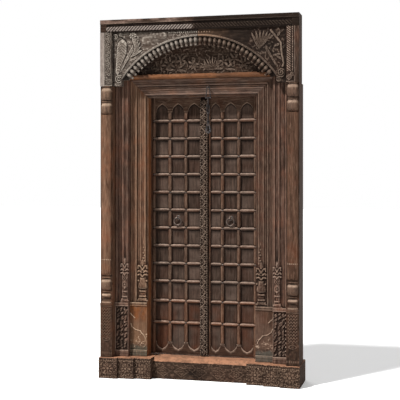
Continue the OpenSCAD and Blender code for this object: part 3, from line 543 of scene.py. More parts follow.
def vase(v, z, wide, twist):
    """Relief of a vase above a pedestal, at v across from its middle: stepped plates, two rings, a bell
    with a collar, and leaves that curl out to both sides under a bud. With a twist, the bell is a slim body
    of slanting leaves."""
    def body(h, *stations):
        """A bulb of height h whose half widths are shares of the vase's own."""
        return bulb(v, z, [(at, share * wide) for at, share in stations], h)

    forms = [np.zeros(np.broadcast(v, z).shape), body(8, (0, 0.7), (30, 0.5), (80, 0.5), (98, 0.5))]
    for mid, half in ((3, 1.3), (13, 1.1), (22, 0.9)):
        forms.append(13 * dome(z - mid, 5.0) ** 0.6 * (np.abs(v) < half * wide))
    for mid in (41, 77):
        forms.append(15 * dome(z - mid, 7.5) * dome(v, 0.76 * wide) ** 0.5)
    if twist:
        top = 240.0
        ball = body(13, (98, 0.3), (112, 0.72), (132, 0.8), (156, 0.5))
        wound = body(13, (146, 0.4), (168, 0.72), (206, 0.86), (214, 0.5))
        cuts = 8 * (0.5 - 0.5 * np.cos(2 * np.pi * (z + 1.6 * v) / 21)) * (wound > 2)
        forms += [ball - 5 * dome(np.hypot(v, z - 126) - 9, 3.0), wound - cuts]
    else:
        top = 226.0
        forms.append(body(18, (92, 0.7), (98, 0.94), (108, 1.0), (134, 0.86), (160, 0.56), (172, 0.5)))
        forms += [15 * dome(np.hypot(v - way * 0.86 * wide, z - 150), 7.5) for way in (-1, 1)]
    curls = (
        (((0, -46), (0.45, -30), (0.95, -34)), 7.0, 15), (((0.2, -16), (0.7, -4), (1, -12)), 6.0, 15),
        (((0, 0), (0.5, 28), (0.9, 30), (0.95, 12)), 6.0, 15), (((0.5, -14), (-0.35, 22)), 4.5, 13),
    )
    for way in (-1, 1):
        for path, r, h in curls:
            forms.append(stroke(v, z, [(way * share * wide, top + up) for share, up in path], r, h))
    bud = [(top + 26, 4), (top + 44, 0.5 * wide), (top + 62, 0.36 * wide), (top + 74, 4)]
    return tallest(*forms, bulb(v, z, bud, 13))


def pedestal_lips(z):
    """How far the foot and cap of a pedestal stand out from its face."""
    foot, cap, lip = 34.0, 16.0, 5.0
    up = np.where((z < SILL_H + foot) | (z > PEDESTAL_Z - cap), lip, 0.0)
    for mid in (SILL_H + foot + lip, PEDESTAL_Z - cap - lip):
        up = np.maximum(up, lip * dome(z - mid, lip))
    return up - 2.0 * np.exp(-((z - SILL_H - 20) / 2.5) ** 2)


def jamb_heights(vase_h, top):
    """Heights of the rows up a jamb: close on the carved pedestal and vase, wide on the plain mouldings."""
    return np.concatenate([
        np.arange(SILL_H, PEDESTAL_Z, 2.7), [PEDESTAL_Z - 0.2, PEDESTAL_Z + 0.2],
        np.arange(PEDESTAL_Z + 2.4, PEDESTAL_Z + vase_h + 4, 2.7),
        np.linspace(PEDESTAL_Z + vase_h + 16, top, 60),
    ])


def column_stations():
    """Half width and rise of the half column by height, as an array: a base disc, a cone, a ring, a pot
    that widens to its shoulder, two rings, a broad shaft, and two bells under the border."""
    pot, bells = np.linspace(0, 1, 14), np.linspace(0, 1, 16)
    rows = [(522, 37, 12), (531, 38, 13), (533, 33, 6), (556, 28, 4), (561, 27, 3)]
    rows += [(562 + 27 * t, 30 + 6 * math.sin(math.pi * t), 6 + 15 * math.sin(math.pi * t)) for t in pot]
    rows += [(592, 28, 4), (598, 28, 4), (600, 32, 9), (605, 32, 9), (607, 28, 3), (614, 29, 3)]
    for t in pot:
        full = dome(t - 0.6, 0.62 if t < 0.6 else 0.42)
        rows.append((616 + 71 * t, 27 + 13 * full, 4 + 30 * full))
    rows += [(689, 30, 4), (696, 30, 3), (698, 34, 9), (704, 34, 9), (706, 31, 3), (716, 31, 3),
             (719, 38, 12), (730, 41, 19), (1832, 41, 19), (1838, 41, 19), (1841, 34, 6)]
    for foot, head in ((1846, 1922), (1942, 2026)):
        for t in bells:
            round_t = dome(t - 0.3, 0.72 if t > 0.3 else 0.34)
            rows.append((foot + (head - foot) * t, 26 + 15 * round_t, 4 + 27 * round_t))
        rows += [(head + 2, 30, 4), (head + 5, 36, 12), (head + 12, 36, 12), (head + 15, 30, 4)]
    return np.array(rows)


def post(side, name):
    """An outer post: a block with a braided pedestal, and a half column of rounded rows in front of its
    face."""
    w = POST_X - MIDDLE_X
    mid = w / 2
    bead_z, groove_z, eye_z, braid_z, braid_top = 172.0, 187.0, 272.0, 292.0, 492.0
    shaft_z, dot_z, shaft_top = 730.0, 826.0, 1830.0
    z = np.concatenate([
        np.arange(SILL_H, PEDESTAL_Z, 2.0), [PEDESTAL_Z - 0.2, PEDESTAL_Z + 0.2],
        np.arange(PEDESTAL_Z + 4, shaft_z, 4.0), np.linspace(shaft_z + 2, shaft_top - 2, 30),
        np.arange(shaft_top + 2, FOOT_Z, 4.0),
    ])[:, None]
    u = spaced(w, 2.0)[None]
    v = u - mid
    fold = np.abs((v + 19) % 19 - 9.5)
    braid = 4.6 * (0.5 + 0.5 * np.cos(2 * np.pi * (z + 1.3 * fold) / 21)) ** 1.2
    braid = braid * ease((34 - np.abs(v)) / 4) * ease((z - braid_z) / 5) * ease((braid_top - z) / 5)
    lid = dome(np.hypot(v / 30, (z - eye_z) / 14) - 0.84, 0.17)
    eye = 4.0 * np.maximum(lid, dome(np.hypot(v / 9, (z - eye_z) / 5), 1.0))
    panel = np.maximum(braid, eye * (np.abs(z - eye_z) < 17))
    beads = 3.0 * dome(np.hypot((v % 15) - 7.5, (z - bead_z) / 1.4), 6.0)
    panel = panel - 1.5 * dome(z - groove_z, 2.5) + beads
    on = z < PEDESTAL_Z
    face = np.where(on, POST_SET - 6.0, POST_SET)
    lips = pedestal_lips(z) * (z > 300)
    rise = np.where(on, np.where(lips > 0.5, lips, panel), 0.0) + 0.5 * lumps(u, z, 14, 3)
    d = face - rise + round_edge(u, w, 2.5)
    block = carved(side * (MIDDLE_X + u), d, z + 0 * u, FRAME_BACK, rise, 3, 1.6, floor=1.0,
                   sides=STEP_FACE)
    worn = face_mask(block, "wear")
    worn *= np.where(on, 0.4, 1.0)
    darken(block, (0.7 if side < 0 else 0.3) * on)
    zc = np.unique(np.concatenate([
        np.arange(PEDESTAL_Z + 0.2, shaft_z, 2.2), np.linspace(shaft_z, shaft_top, 56),
        np.arange(dot_z - 8, dot_z + 10, 1.5), np.arange(shaft_top, FOOT_Z, 2.2),
    ]))[:, None]
    stations = column_stations()
    half, swell = (np.interp(zc, stations[:, 0], stations[:, k]) for k in (1, 2))
    t = np.sin(np.linspace(-np.pi / 2, np.pi / 2, 31))[None]
    cups = ((622, 672), (1850, 1920), (1946, 2022))
    fluted = sum(ease((zc - low) / 8) * ease((high - zc) / 8) for low, high in cups)
    lobes = 2.6 * fluted * (1 - np.abs(np.cos(4.5 * np.arcsin(t)))) ** 1.5
    dots = 3.0 * dome(np.hypot((half * t) % 13 - 6.5, zc - dot_z), 5.0) * (np.abs(t) < 0.85)
    stand = swell * np.sqrt(1 - t ** 2) ** 0.9 - lobes + dots + 0.4 * lumps(half * t, zc, 16, 4)
    # Painted shade on the necks, where the column sinks back, and on the flanks, where it turns away
    low = np.maximum(ease((8 - swell) / 4), 0.6 * ease((np.abs(t) - 0.72) / 0.25))
    # Painted highlight along the upper shoulders of the rounds
    shoulders = ((679, 7), (582, 7), (528, 4), (1908, 9), (2012, 9))
    shoulder = sum(np.exp(-((zc - top) / fade) ** 2) for top, fade in shoulders)
    ash = 0.5 * (ease((zc - 1840) / 20) + ease((715 - zc) / 20))
    x = side * (MIDDLE_X + mid + half * t)
    wear = np.clip(shoulder + dots / 3.0, 0, 1)
    rows = carved(x, POST_SET + 3 - stand, zc + 0 * t, POST_SET + 24, stand, 5, 3.5, wear=wear, ash=ash)
    darken(rows, 0.85 * low)
    return put(name, [block, rows], "frame", [name], post_left if side < 0 else post_right)


def middle_jamb(side, name):
    """A middle jamb: beads up its length, a pedestal deeply cut with slanting leaves, and a slim wound
    vase."""
    w, vase_h, vase_mid, vase_half = MIDDLE_X - INNER_X, 300.0, 29.0, 27.0
    shift, bead_u, bead_zs = (26, 28, (385, 472)) if side < 0 else (0, 90, range(205, 500, 27))
    z, u = jamb_heights(vase_h, LINTEL_TOP)[:, None], spaced(w, 2.2)[None]
    uu, zz = u + 0 * z, z + 0 * u
    on = z < PEDESTAL_Z
    cut = tendrils(uu, zz, 10, 210 + side, 5)
    rng = np.random.default_rng(215 + side)
    for k in range(17):
        for column in (8, 36, 62):
            foot = (column + shift, 176 + 19.5 * k + rng.uniform(-6, 10))
            angle = 56 + rng.uniform(-30, 22)
            angle = 180 - angle if side < 0 else angle
            cut = np.maximum(cut, leaf(uu, zz, foot, angle, rng.uniform(24, 40), 12, 10))
    for bead_z in bead_zs:
        cut = np.maximum(cut, 13 * dome(np.hypot(uu - bead_u, zz - bead_z), 6.5))
    cut = np.maximum(cut, 9 * np.maximum(dome(uu - 3, 3.5), dome(uu - (w - 3), 3.5)))
    lips = pedestal_lips(z)
    on_lip = lips > LEAST
    plain = ease((188 - zz) / 4)
    pedestal = np.where(on_lip, lips, (np.minimum(cut, 11) - 9) * (1 - plain))
    relief = vase(uu - vase_mid, zz - PEDESTAL_Z, vase_half, True)
    on_vase = relief > LEAST
    ground = middle_profile(u) + 0 * z
    raised = np.minimum(ground, MIDDLE_SET + 3 - relief - 1.2 * lumps(uu, zz, 7, 11))
    d = np.where(on, MIDDLE_SET - 11 - pedestal, np.where(on_vase, raised, ground))
    d = d + round_edge(u, w, 2.0) + 0.6 * lumps(u, z, 30, 5)
    skin = carved(side * (INNER_X + u), d, zz, FRAME_BACK, -d, 4, 3.4, sides=STEP_FACE)
    # Painted shade in the pedestal's cut ground and on the ground beside the vase
    pits = np.where(on & ~on_lip, ease((7.5 - cut) / 5) * (1 - plain), 0)
    beside = 0.6 * ease((38 - np.abs(uu - vase_mid)) / 8) * ease((PEDESTAL_Z + vase_h - zz) / 20)
    darken(skin, np.maximum(pits, beside * ~on_vase * ~on))
    worn = face_mask(skin, "wear")
    worn *= np.where(on | on_vase, 0.7, 0.16)
    return put(name, [skin], "frame", [name], middle_upright)


def inner_jamb(side, name):
    """An inner jamb: beaded bands up to the mitre, a pedestal rubbed smooth with winding lines, and a bell
    vase with a thin stalk of blossoms beside the opening."""
    w, vase_h, vase_mid, vase_half = INNER_X - HALF_OPEN, 390.0, 38.0, 34.0
    below = 40.0
    mitre_z = OPENING_TOP - below
    z, u = jamb_heights(vase_h, mitre_z)[:, None], spaced(w, 2.2)[None]
    zz = np.concatenate([z + 0 * u, mitre_z + (below + u) * np.linspace(0.25, 1, 4)[:, None]])
    u = u + 0 * zz
    on = zz < PEDESTAL_Z
    upper = [(w, 446), (w - 16, 430), (w - 36, 412)]
    lower = [(w - 6, 372), (w - 14, 350), (w - 40, 330), (w - 76, 322), (w - 88, 306), (w - 104, 290),
             (w - 112, 270)]
    line = np.maximum(stroke(u, zz, upper, 3.2, 4.0), stroke(u, zz, lower, 3.2, 4.2))
    curls = tendrils(u, zz, 20, 220 + side, 3.0) * ease((330 - zz) / 30) * ease((zz - 190) / 20)
    line = np.maximum(line, curls)
    lips = pedestal_lips(zz)
    uneven = 2.2 * lumps(u, zz, 60, 21) * ease((480 - zz) / 40)
    pedestal = np.where(lips > LEAST, lips, line + uneven - 1.5)
    relief = vase(u - vase_mid, zz - PEDESTAL_Z, vase_half, False)
    for k in range(8):
        blossom = np.hypot(u - 24 - 8 * (k % 2), zz - PEDESTAL_Z - 290 - 19 * k)
        relief = np.maximum(relief, (12 - k) * dome(blossom, 9.0 - 0.6 * k))
    on_vase = relief > LEAST
    ground = inner_profile(u)
    raised = np.minimum(ground, INNER_SET + 11 - relief - 1.2 * lumps(u, zz, 7, 12))
    d = np.where(on, INNER_SET - 11 - pedestal, np.where(on_vase, raised, ground))
    d = d + round_edge(u, w, 2.0) + 0.5 * lumps(u, zz, 34, 6)
    if side < 0:
        edge, share = (zz - 372) / 60, 1.0
    else:
        edge, share = (0.9 * u + zz - 450 + 40 * lumps(u, zz, 45, 31)) / 70, 0.25
    rubbed = share * ease((508 - zz) / 10) * ease(edge) * (0.8 + 0.5 * lumps(u, zz * 0.5, 26, 8)) * on
    smooth = (1 - ease(edge)) * ease((zz - 222) / 25) * (0.85 + 0.4 * lumps(u, zz * 0.6, 30, 13)) * on
    ash = 0.95 * ease((232 - zz) / 24 + 0.5 * lumps(u, zz, 20, 9)) * on
    ash = np.clip(ash + 0.4 * ease((640 - zz) / 200) * ease(lumps(u, zz, 50, 10)) * ~on, 0, 1)
    skin = carved(side * (HALF_OPEN + u), d, zz, FRAME_BACK, -d, 4, 3.4, sides=STEP_FACE, ash=ash,
                  bare=np.clip(rubbed, 0, 1), tone=np.clip(smooth, 0, 1))
    worn, deep = face_mask(skin, "wear"), face_mask(skin, "hollow")
    # Painted shade on the ground beside the vase and under the bell; the pedestal is made darker too
    beside = 0.65 * ease((46 - np.abs(u - vase_mid)) / 8) * ease((PEDESTAL_Z + 300 - zz) / 20)
    beside = beside * ~on_vase * ~on
    under = 0.6 * ease((638 - zz) / 16) * (zz > 612) * on_vase
    deep *= np.where(on | on_vase, 1.0, 0.35)
    darken(skin, np.maximum(beside, under) + 0.25 * on)
    worn *= np.where(on, 0.5, np.where(on_vase, 0.3, 0.14))
    worn[:] = np.maximum(worn, ease((line - 1.5) / 1.5) * on)
    return put(name, [skin], "frame", [name], inner_left if side < 0 else inner_right)


def lintel():
    """The lintel: the inner order's bands carried across the opening, cut to the mitre at both ends."""
    w = INNER_X - HALF_OPEN
    s, u = np.linspace(-1, 1, 90)[:, None], spaced(w, 2.2)[None]
    x, z = s * (HALF_OPEN + u), OPENING_TOP + u + 0 * s
    d = inner_profile(u) + 0 * s + round_edge(u, w, 2.0) + 0.7 * lumps(x, z, 40, 14)
    bare = 0.1 * ease(lumps(x, z * 2.5, 70, 15) + 0.2)
    skin = carved(x, d, z, FRAME_BACK, -d, 4, 11.0, bare=bare)
    return put("lintel", [skin], "frame", ["lintel"], lintel_level)


def ledge():
    """The ledge board: a round-nosed section carried across, dipping and rubbed where it was leaned on."""
    t = np.linspace(0, np.pi, 13)
    r = (LEDGE_TOP - LINTEL_TOP) / 2
    nose = np.stack([LEDGE_SET + r - r * np.sin(t), LINTEL_TOP + r - r * np.cos(t)], -1)
    top = [(96, LEDGE_TOP), (150, LEDGE_TOP), (FRAME_BACK, LEDGE_TOP)]
    section = np.concatenate([nose, top, [(FRAME_BACK, LINTEL_TOP), (130, LINTEL_TOP)]])
    x = np.linspace(-MIDDLE_X, MIDDLE_X, 120)[:, None]
    d, z = section[:, 0][None] + 0 * x, section[:, 1][None] + 0 * x
    front = ease((110 - d) / 40)
    d = d + front * (1.5 + 1.5 * lumps(x, z, 60, 17))
    z = np.minimum(z, LEDGE_TOP - front * ease((z - 2100) / 10) * (2.0 + 2.0 * lumps(x, d * 0, 45, 18)))
    tone = np.clip(0.3 + 0.5 * lumps(x, z * 3, 80, 19), 0, 1)
    # Darker towards both ends
    masks = {"bare": tone, "hollow": 0.8 * ease((np.abs(x) - 470) / 90) + 0 * d}
    return put("ledge", [(np.stack([x + 0 * d, d, z], -1), masks)], "frame", ["ledge"], ledge_level)


def plant_left(x, z):
    """Carving of the left spandrel, at x outwards from the crown: a great upright leaf with a round head,
    curls, a rosette, a fan of fronds, leaves along the rim, a broad smooth leaf of lobes, beads, and fine
    stems between."""
    mid = np.interp(z, (2135, 2200, 2270, 2335), (574, 560, 545, 540))
    half = np.interp(z, (2118, 2135, 2200, 2270, 2335, 2364), (6, 16, 26, 37, 34, 3))
    veins = 1.5 * (0.5 + 0.5 * np.cos((z + 0.9 * np.abs(x - mid)) * 2 * np.pi / 19))
    curls = (((562, 2084), 36, 13, 1), ((590, 2380), 24, 10, -1), ((552, 2394), 15, 8, 1))
    lobes = sum(np.exp(-((x - cx) / r) ** 2 - ((z - cz) / (0.82 * r)) ** 2)
                for cx, cz, r in ((368, 2352, 46), (300, 2366, 46), (240, 2382, 32)))
    return tallest(
        tendrils(x, z, 22, 230, 3.0),
        np.where((z > 2118) & (z < 2364), 11 * dome(x - mid, half) ** 0.6 - veins, 0),
        12 * dome(np.hypot(x - 537, z - 2342), 20),
        *(spiral(x, z, centre, r, pitch, 9.5, hand) for centre, r, pitch, hand in curls),
        rosette(x, z, (463, 2386), 27, 9, 9),
        *(leaf(x, z, (486 - 9 * k, 2236 + 8 * k), 152 - 14 * k, 104, 20, 9) for k in range(7)),
        *(leaf(x, z, (562 - 15 * k, 2128 + 22 * k), 118 - 3 * k, 66, 22, 8.5) for k in range(7)),
        9.5 * ease((lobes - 0.28) / 0.75) + 1.2 * lumps(x, z, 13, 232) * (lobes > 0.5),
        6 * dome(np.hypot((x % 15) - 7.5, z - 2397), 6.0) * (x < 205),
    )


def plant_right(x, z):
    """Carving of the right spandrel, at x outwards from the crown: plain wood towards the crown, a pleated
    fan, a long winding stem with leaves, and a scrolled foot, with fine winding stems between."""
    stem = [(508, 2388), (547, 2340), (576, 2302), (583, 2220), (597, 2165), (588, 2146)]
    shoots = (
        ((574, 2300), 205), ((582, 2262), 40), ((583, 2230), 190), ((590, 2190), 150), ((548, 2340), 60),
        ((530, 2362), 220),
    )
    return tallest(
        tendrils(x, z, 20, 231, 3.0) * ease((x - 350) / 30),
        *(leaf(x, z, (432 + 3 * k, 2262 + 4 * k), 116 - 12 * k, 132 - 4 * k, 20, 8) for k in range(6)),
        stroke(x, z, stem, 8, 9),
        *(leaf(x, z, foot, angle, 52, 18, 8) for foot, angle in shoots),
        spiral(x, z, (578, 2104), 34, 13, 8.5, -1),
        spiral(x, z, (560, 2062), 20, 9, 8),
        *(leaf(x, z, (556 - 14 * k, 2140 + 20 * k), 124 - 4 * k, 50, 16, 6.5) for k in range(6)),
        4.0 * dome(np.hypot((x % 19) - 9.5, z - 2395), 5.5) * (x < 90),
    )


def petal(angle):
    """One bud petal along a radius of the arch: a small ball at its foot, then rings that widen evenly to a
    round shoulder and close under the rim, with three lobes in front."""
    t = np.linspace(0, 1, 21)[:, None]
    a = np.linspace(0, 2 * np.pi, 20, endpoint=False)[None]
    length, r_head = 63.0, 15.8
    ball = 0.56 * dome(t - 0.1, 0.11)
    stem = np.where((t > 0.1) & (t < 0.66), 0.5 + 0.5 * (t - 0.1) / 0.56, 0)
    head = np.where(t >= 0.66, 0.36 + 0.64 * dome(t - 0.66, 0.35), 0)
    lobe = 1 - 0.13 * ease((t - 0.15) / 0.2) * np.abs(np.sin(1.5 * a)) ** 1.5
    r = r_head * tallest(ball, stem, head, 0.02) * lobe
    along = ARCH_R + 2.5 - length * (1 - t) + 0 * a
    out, d = r * np.sin(a), PETAL_SET - 3.0 - 1.1 * r * np.cos(a)
    ca, sa = math.cos(angle), math.sin(angle)
    rings = np.stack([along * sa + out * ca, d, ARCH_Z + along * ca - out * sa], -1)
    # Painted highlight on the front of the shoulder and of the ball; painted shade under the rim, in the
    # creases between the lobes and on the back half
    shoulder = np.exp(-((t - 0.62) / 0.16) ** 2) + 0.7 * np.exp(-((t - 0.08) / 0.05) ** 2)
    wear = shoulder * (np.cos(a) > 0.2)
    hollow = 0.9 * ease((t - 0.86) / 0.1) + 0.55 * (1 - lobe) / 0.13 + 0.8 * (np.cos(a) < 0)
    return rings, {"wear": np.clip(wear, 0, 1), "hollow": np.clip(hollow, 0, 1)}


def spandrel(side, name, plant, timber):
    """A spandrel board: rows upright from the arch to the border, with the petals' recess, the rim and the
    carving."""
    x = np.concatenate([np.arange(0.5, 540, 3.0), [543, 545.5]])[:, None]
    low = np.maximum(ARCH_Z + np.sqrt(np.maximum((ARCH_R - 34) ** 2 - x * x, 0)), SPRING_Z)
    edge = np.maximum(ARCH_Z + np.sqrt(np.maximum(ARCH_R ** 2 - x * x, 0)), SPRING_Z)
    rim = np.maximum(ARCH_Z + np.sqrt((ARCH_R + RIM_W) ** 2 - x * x), edge + 4)
    a, b, c = (np.linspace(0, 1, n)[None] for n in (6, 7, 64))
    z = np.concatenate([low + (edge - 0.3 - low) * a, edge + (rim - edge) * b,
                        rim + 1 + (BORDER_Z - rim - 1) * c], 1)
    band = np.concatenate([-1 + 0 * a, 0.5 * np.ones_like(b), 2 + 0 * c], 1) + 0 * x
    round_rim = 2.0 * dome((z - edge) / (rim - edge) - 0.5, 0.62) + 0.8 * lumps(x, z, 9, 33)
    ground = plant(x + 0 * z, z) - 2.0 + 0.7 * lumps(x, z, 26, 30 + side)
    rise = np.where(band < 0, SPANDREL_SET - PETAL_SET,
                    np.where(band < 1, round_rim, np.minimum(ground, 10.5)))
    crown = ease((260 - x) / 220)
    main = carved(side * x + 0 * z, SPANDREL_SET - rise, z, LEDGE_SET, rise, 3, 1.7,
                  tone=0.85 * crown + 0 * z)
    over = (z - edge) / (rim - edge)
    # Painted shade in the recess behind the petals and in the crevice under the rim
    darken(main, np.where(band < 0, 0.9, 0.85 * ease((0.42 - over) / 0.2) * (band < 1)))
    deep = face_mask(main, "hollow")
    # Painted shade on the carving's ground, heavier on the right spandrel, which is also darkened all over
    ground_dark, dim = (0.25, 0.0) if side < 0 else (0.7, 0.22)
    deep[:] = np.clip(np.maximum(deep, ground_dark * ease((-0.4 - rise) / 1.6) * (band > 1)) + dim, 0, 1)
    # Painted shadow under the head border
    darken(main, 0.9 * ease((z - BORDER_Z + 12) / 8))
    xf, zf = np.arange(545.5, MIDDLE_X + 0.1, 2.6)[:, None], np.linspace(FOOT_Z, BORDER_Z, 150)[None]
    rho = np.hypot(xf, zf - ARCH_Z)
    on_rim = (rho < ARCH_R + RIM_W) & (zf > SPRING_Z)
    foot = np.where(on_rim, 2.0 * dome(rho - ARCH_R - RIM_W / 2, 9.0),
                    plant(xf + 0 * zf, zf + 0 * xf) - 2.0)
    d = SPANDREL_SET - np.minimum(foot, 10.5)
    outer = carved(side * xf + 0 * zf, d, zf + 0 * xf, LEDGE_SET, foot, 3, 1.7)
    # Painted shadow along the side border and under the head border
    corner = np.maximum(ease((xf - MIDDLE_X + 20) / 6), ease((zf - BORDER_Z + 12) / 8))
    pits = ground_dark * ease((-0.4 - foot) / 1.6) * ~on_rim
    darken(outer, np.maximum(0.95 * corner, pits))
    half = math.acos((SPRING_Z + 14.5 - ARCH_Z) / (ARCH_R - 28))
    petals = [petal(side * (i + 0.5) * half / 17) for i in range(17)]
    return put(name, [main, outer, *petals], "frame", [name], timber)


def tympanum():
    """The board behind the arch: dense winding stems of two sizes, a burst of narrow leaves right of the
    middle, leaves along the foot and seven flowers of five leaves, with painted shade towards both ends."""
    x, z = np.linspace(-MIDDLE_X, MIDDLE_X, 340)[:, None], np.linspace(LEDGE_TOP, BORDER_Z, 88)[None]
    xx, zz = x + 0 * z, z + 0 * x
    mids = (-290, -215, -135, -50, 165, 240, 310)
    flowers = [((mid, 2182 + 16 * (k % 3)), 25 * k) for k, mid in enumerate(mids)]
    feet = [((-330 + 29 * k, 2138 + 9 * (k % 4)), 40 + 67 * (k % 3)) for k in range(24)]
    h = tallest(
        tendrils(xx, zz, 24, 241, 5.0),
        tendrils(xx, zz, 14, 242, 2.0),
        *(leaf(xx, zz, (85, 2140), 14 + 15 * k, 92 + 14 * (k % 2), 11, 8) for k in range(11)),
        *(leaf(xx, zz, foot, angle, 72, 20, 8.5) for foot, angle in feet),
        *(leaf(xx, zz, centre, 72 * j + turn, 46, 17, 8.5) for centre, turn in flowers for j in range(5)),
    )
    h = h - 2.0 + 0.8 * lumps(xx, zz, 30, 41)
    skin = carved(xx, TYMPANUM_SET - np.minimum(h, 8.5), zz, TYMPANUM_SET + 24, h, 3, 3.0)
    # Painted shade towards both ends, deepest at the left
    darken(skin, 0.7 * np.maximum(ease((-xx - 250) / 120), 0.6 * ease((xx - 330) / 120)))
    return put("tympanum", [skin], "frame", ["tympanum"], black_level)


def rope(s, u, low, high, pitch, lean, h):
    """Slanting rope strands along s in a band of u: half rounds about evenly spaced lines that lean in the
    band."""
    mid = (low + high) / 2
    off = (s - lean * (u - mid)) % pitch - pitch / 2
    strand = dome(off / math.hypot(1, lean), 0.29 * pitch)
    return h * strand * ease((u - low) / 5) * ease((high - u) / 5)


def head_border():
    """The head border: reeds over a rope band under a plain fillet; the strands lean to the crown from both
    sides, bold and pale on the left, thin and darkened with painted shade on the right."""
    h, rope_top, reed_top, rope_end = PORTAL_H - BORDER_Z, 41.0, 58.0, 654.0
    x, u = np.linspace(-POST_X, POST_X, 560)[:, None], spaced(h, 2.2)[None]
    xx, uu = x + 0 * u, u + 0 * x
    left = ease((-xx - 10) / 40)
    strands = left * rope(xx, uu, 4, 40, 22.0, 1.0, 9.0) + (1 - left) * rope(xx, uu, 8, 44, 22.0, -1.0, 5.0)
    reeds = 2.0 * np.cos(2 * np.pi * (uu - 40) / 6.5) * ((uu > rope_top) & (uu < reed_top))
    fillet = 2.5 * ease((uu - reed_top) / 2) + 1.5 * dome(uu - reed_top - 2, 3.0)
    band = np.where(np.abs(xx) < rope_end, np.where(uu > rope_top, reeds, strands), 2.5) - 3.5
    rise = np.where(uu < reed_top, band, fillet) + 0.6 * lumps(xx, uu, 40, 50)
    d = -np.minimum(rise, 5.5) + round_edge(uu, h, 3.0) + round_edge(xx + POST_X, 2 * POST_X, 3.0)
    pale = 0.5 * ease((-xx - 60) / 150) * ease(0.6 + lumps(xx, uu * 2, 60, 51)) * (uu > reed_top)
    ash = 0.8 * left * ease((rise - 0.5) / 2) * (uu < rope_top)
    skin = carved(xx, d, BORDER_Z + uu, BORDER_BACK, rise, 3, 2.6, floor=-0.5, bare=pale, ash=ash)
    # Painted shade: the right half of the border is darkened
    deep = face_mask(skin, "hollow")
    deep[:] = np.clip(np.where(uu < reed_top, deep, 0.4 * deep) + 0.42 * (1 - left), 0, 1)
    darken(skin, 0.82 * (1 - left))
    return put("head_border", [skin], "frame", ["head_border"], border_level)


def side_border(side, name, timber):
    """A side border: on the left a band of scallops and dots, on the right a rope band beside a row of
    beads, both ending in a scroll."""
    w, band_w, scroll_h = POST_X - MIDDLE_X, 56.0, 72.0
    u, z = spaced(w, 2.4)[:, None], np.arange(FOOT_Z, BORDER_Z + 0.1, 2.2)[None]
    uu, zz = u + 0 * z, z + 0 * u
    if side < 0:
        cell, row = (zz % 19) - 9.5, np.floor(zz / 19)
        shift = np.where(row % 2 == 0, 6.0, -6.0)
        band = 4.0 * dome(np.hypot(uu - 30 - shift, cell) - 7, 2.6)
        band = np.maximum(band, 4.0 * dome(np.hypot(uu - 30 + shift, cell), 4.0))
        for place in (12, 48):
            band = np.maximum(band, 3.0 * dome(np.hypot(uu - place, (zz % 9.5) - 4.7), 3.4))
    else:
        band = rope(zz, uu, 4, 34, 15.0, -0.8, 6.0)
        band = np.maximum(band, 4.5 * dome(np.hypot(uu - 44, (zz % 11) - 5.5), 4.6))
    scroll = spiral(uu, zz, (20, FOOT_Z + 32), 20, 8, 6, side)
    scroll = np.maximum(scroll, spiral(uu, zz, (42, FOOT_Z + 52), 16, 7, 6, -side))
    scroll = scroll + 2.5 * dome(zz - FOOT_Z - 4, 4.0)
    band = np.where(zz < FOOT_Z + scroll_h, scroll, band) - 2.5
    rise = np.where(uu < band_w, band, 0.5) + 0.6 * lumps(uu, zz, 30, 55 + side)
    d = -np.minimum(rise, 4.5) + round_edge(uu, w, 3.0)
    ash = (0.6 if side < 0 else 0.0) * (uu > band_w)
    # Painted shade on the turned-back sides
    skin = carved(side * (MIDDLE_X + uu), d, zz, BORDER_BACK, rise, 3, 3.0, floor=-0.8, ash=ash,
                  sides={"hollow": 0.45})
    return put(name, [skin], "frame", [name], timber)


def sill_block(x0, x1, face, top, carving, seed):
    """One block of the sill: rows across it, each up the carved front, over a rounded arris and back along
    the worn top."""
    arris = 8.0
    x = (x0 + spaced(x1 - x0, 2.8))[:, None]
    zf = np.linspace(0, top - arris, 46)
    t = np.linspace(0, np.pi / 2, 7)[1:]
    back = np.array([0.02, 0.05, 0.09, 0.15, 0.22, 0.31, 0.42, 0.55, 0.7, 0.86, 1.0])
    back = back * (SILL_BACK - face - 9)
    z = np.concatenate([zf, top - arris + arris * np.sin(t), np.full(len(back), top)])[None]
    d = np.concatenate([np.full(len(zf), face), face + arris - arris * np.cos(t),
                        face + arris + back])[None]
    on_top = np.concatenate([np.zeros(len(zf)), np.sin(t) ** 2, np.ones(len(back))])[None] + 0 * x
    zz, dd, xx = z + 0 * x, d + 0 * x, x + 0 * z
    rise = carving(xx, zz) * (1 - on_top) + 0.7 * lumps(xx, zz, 26, seed)
    rise = rise - 1.5 * ease((zz - top + 26) / 16) * (1 - on_top)
    dip = on_top * (2.0 + 2.0 * lumps(xx, dd, 55, seed + 1))
    worn = np.clip(on_top * (0.75 + 0.35 * lumps(xx, dd, 40, seed + 2)), 0, 1)
    skin = carved(xx, dd - rise, zz - dip, SILL_BACK, rise, 3, 3.0, bare=worn)
    # Painted shade on the carving's ground, below the top
    darken(skin, 0.6 * ease((-1.6 - rise) / 2.5) * (1 - on_top))
    return skin


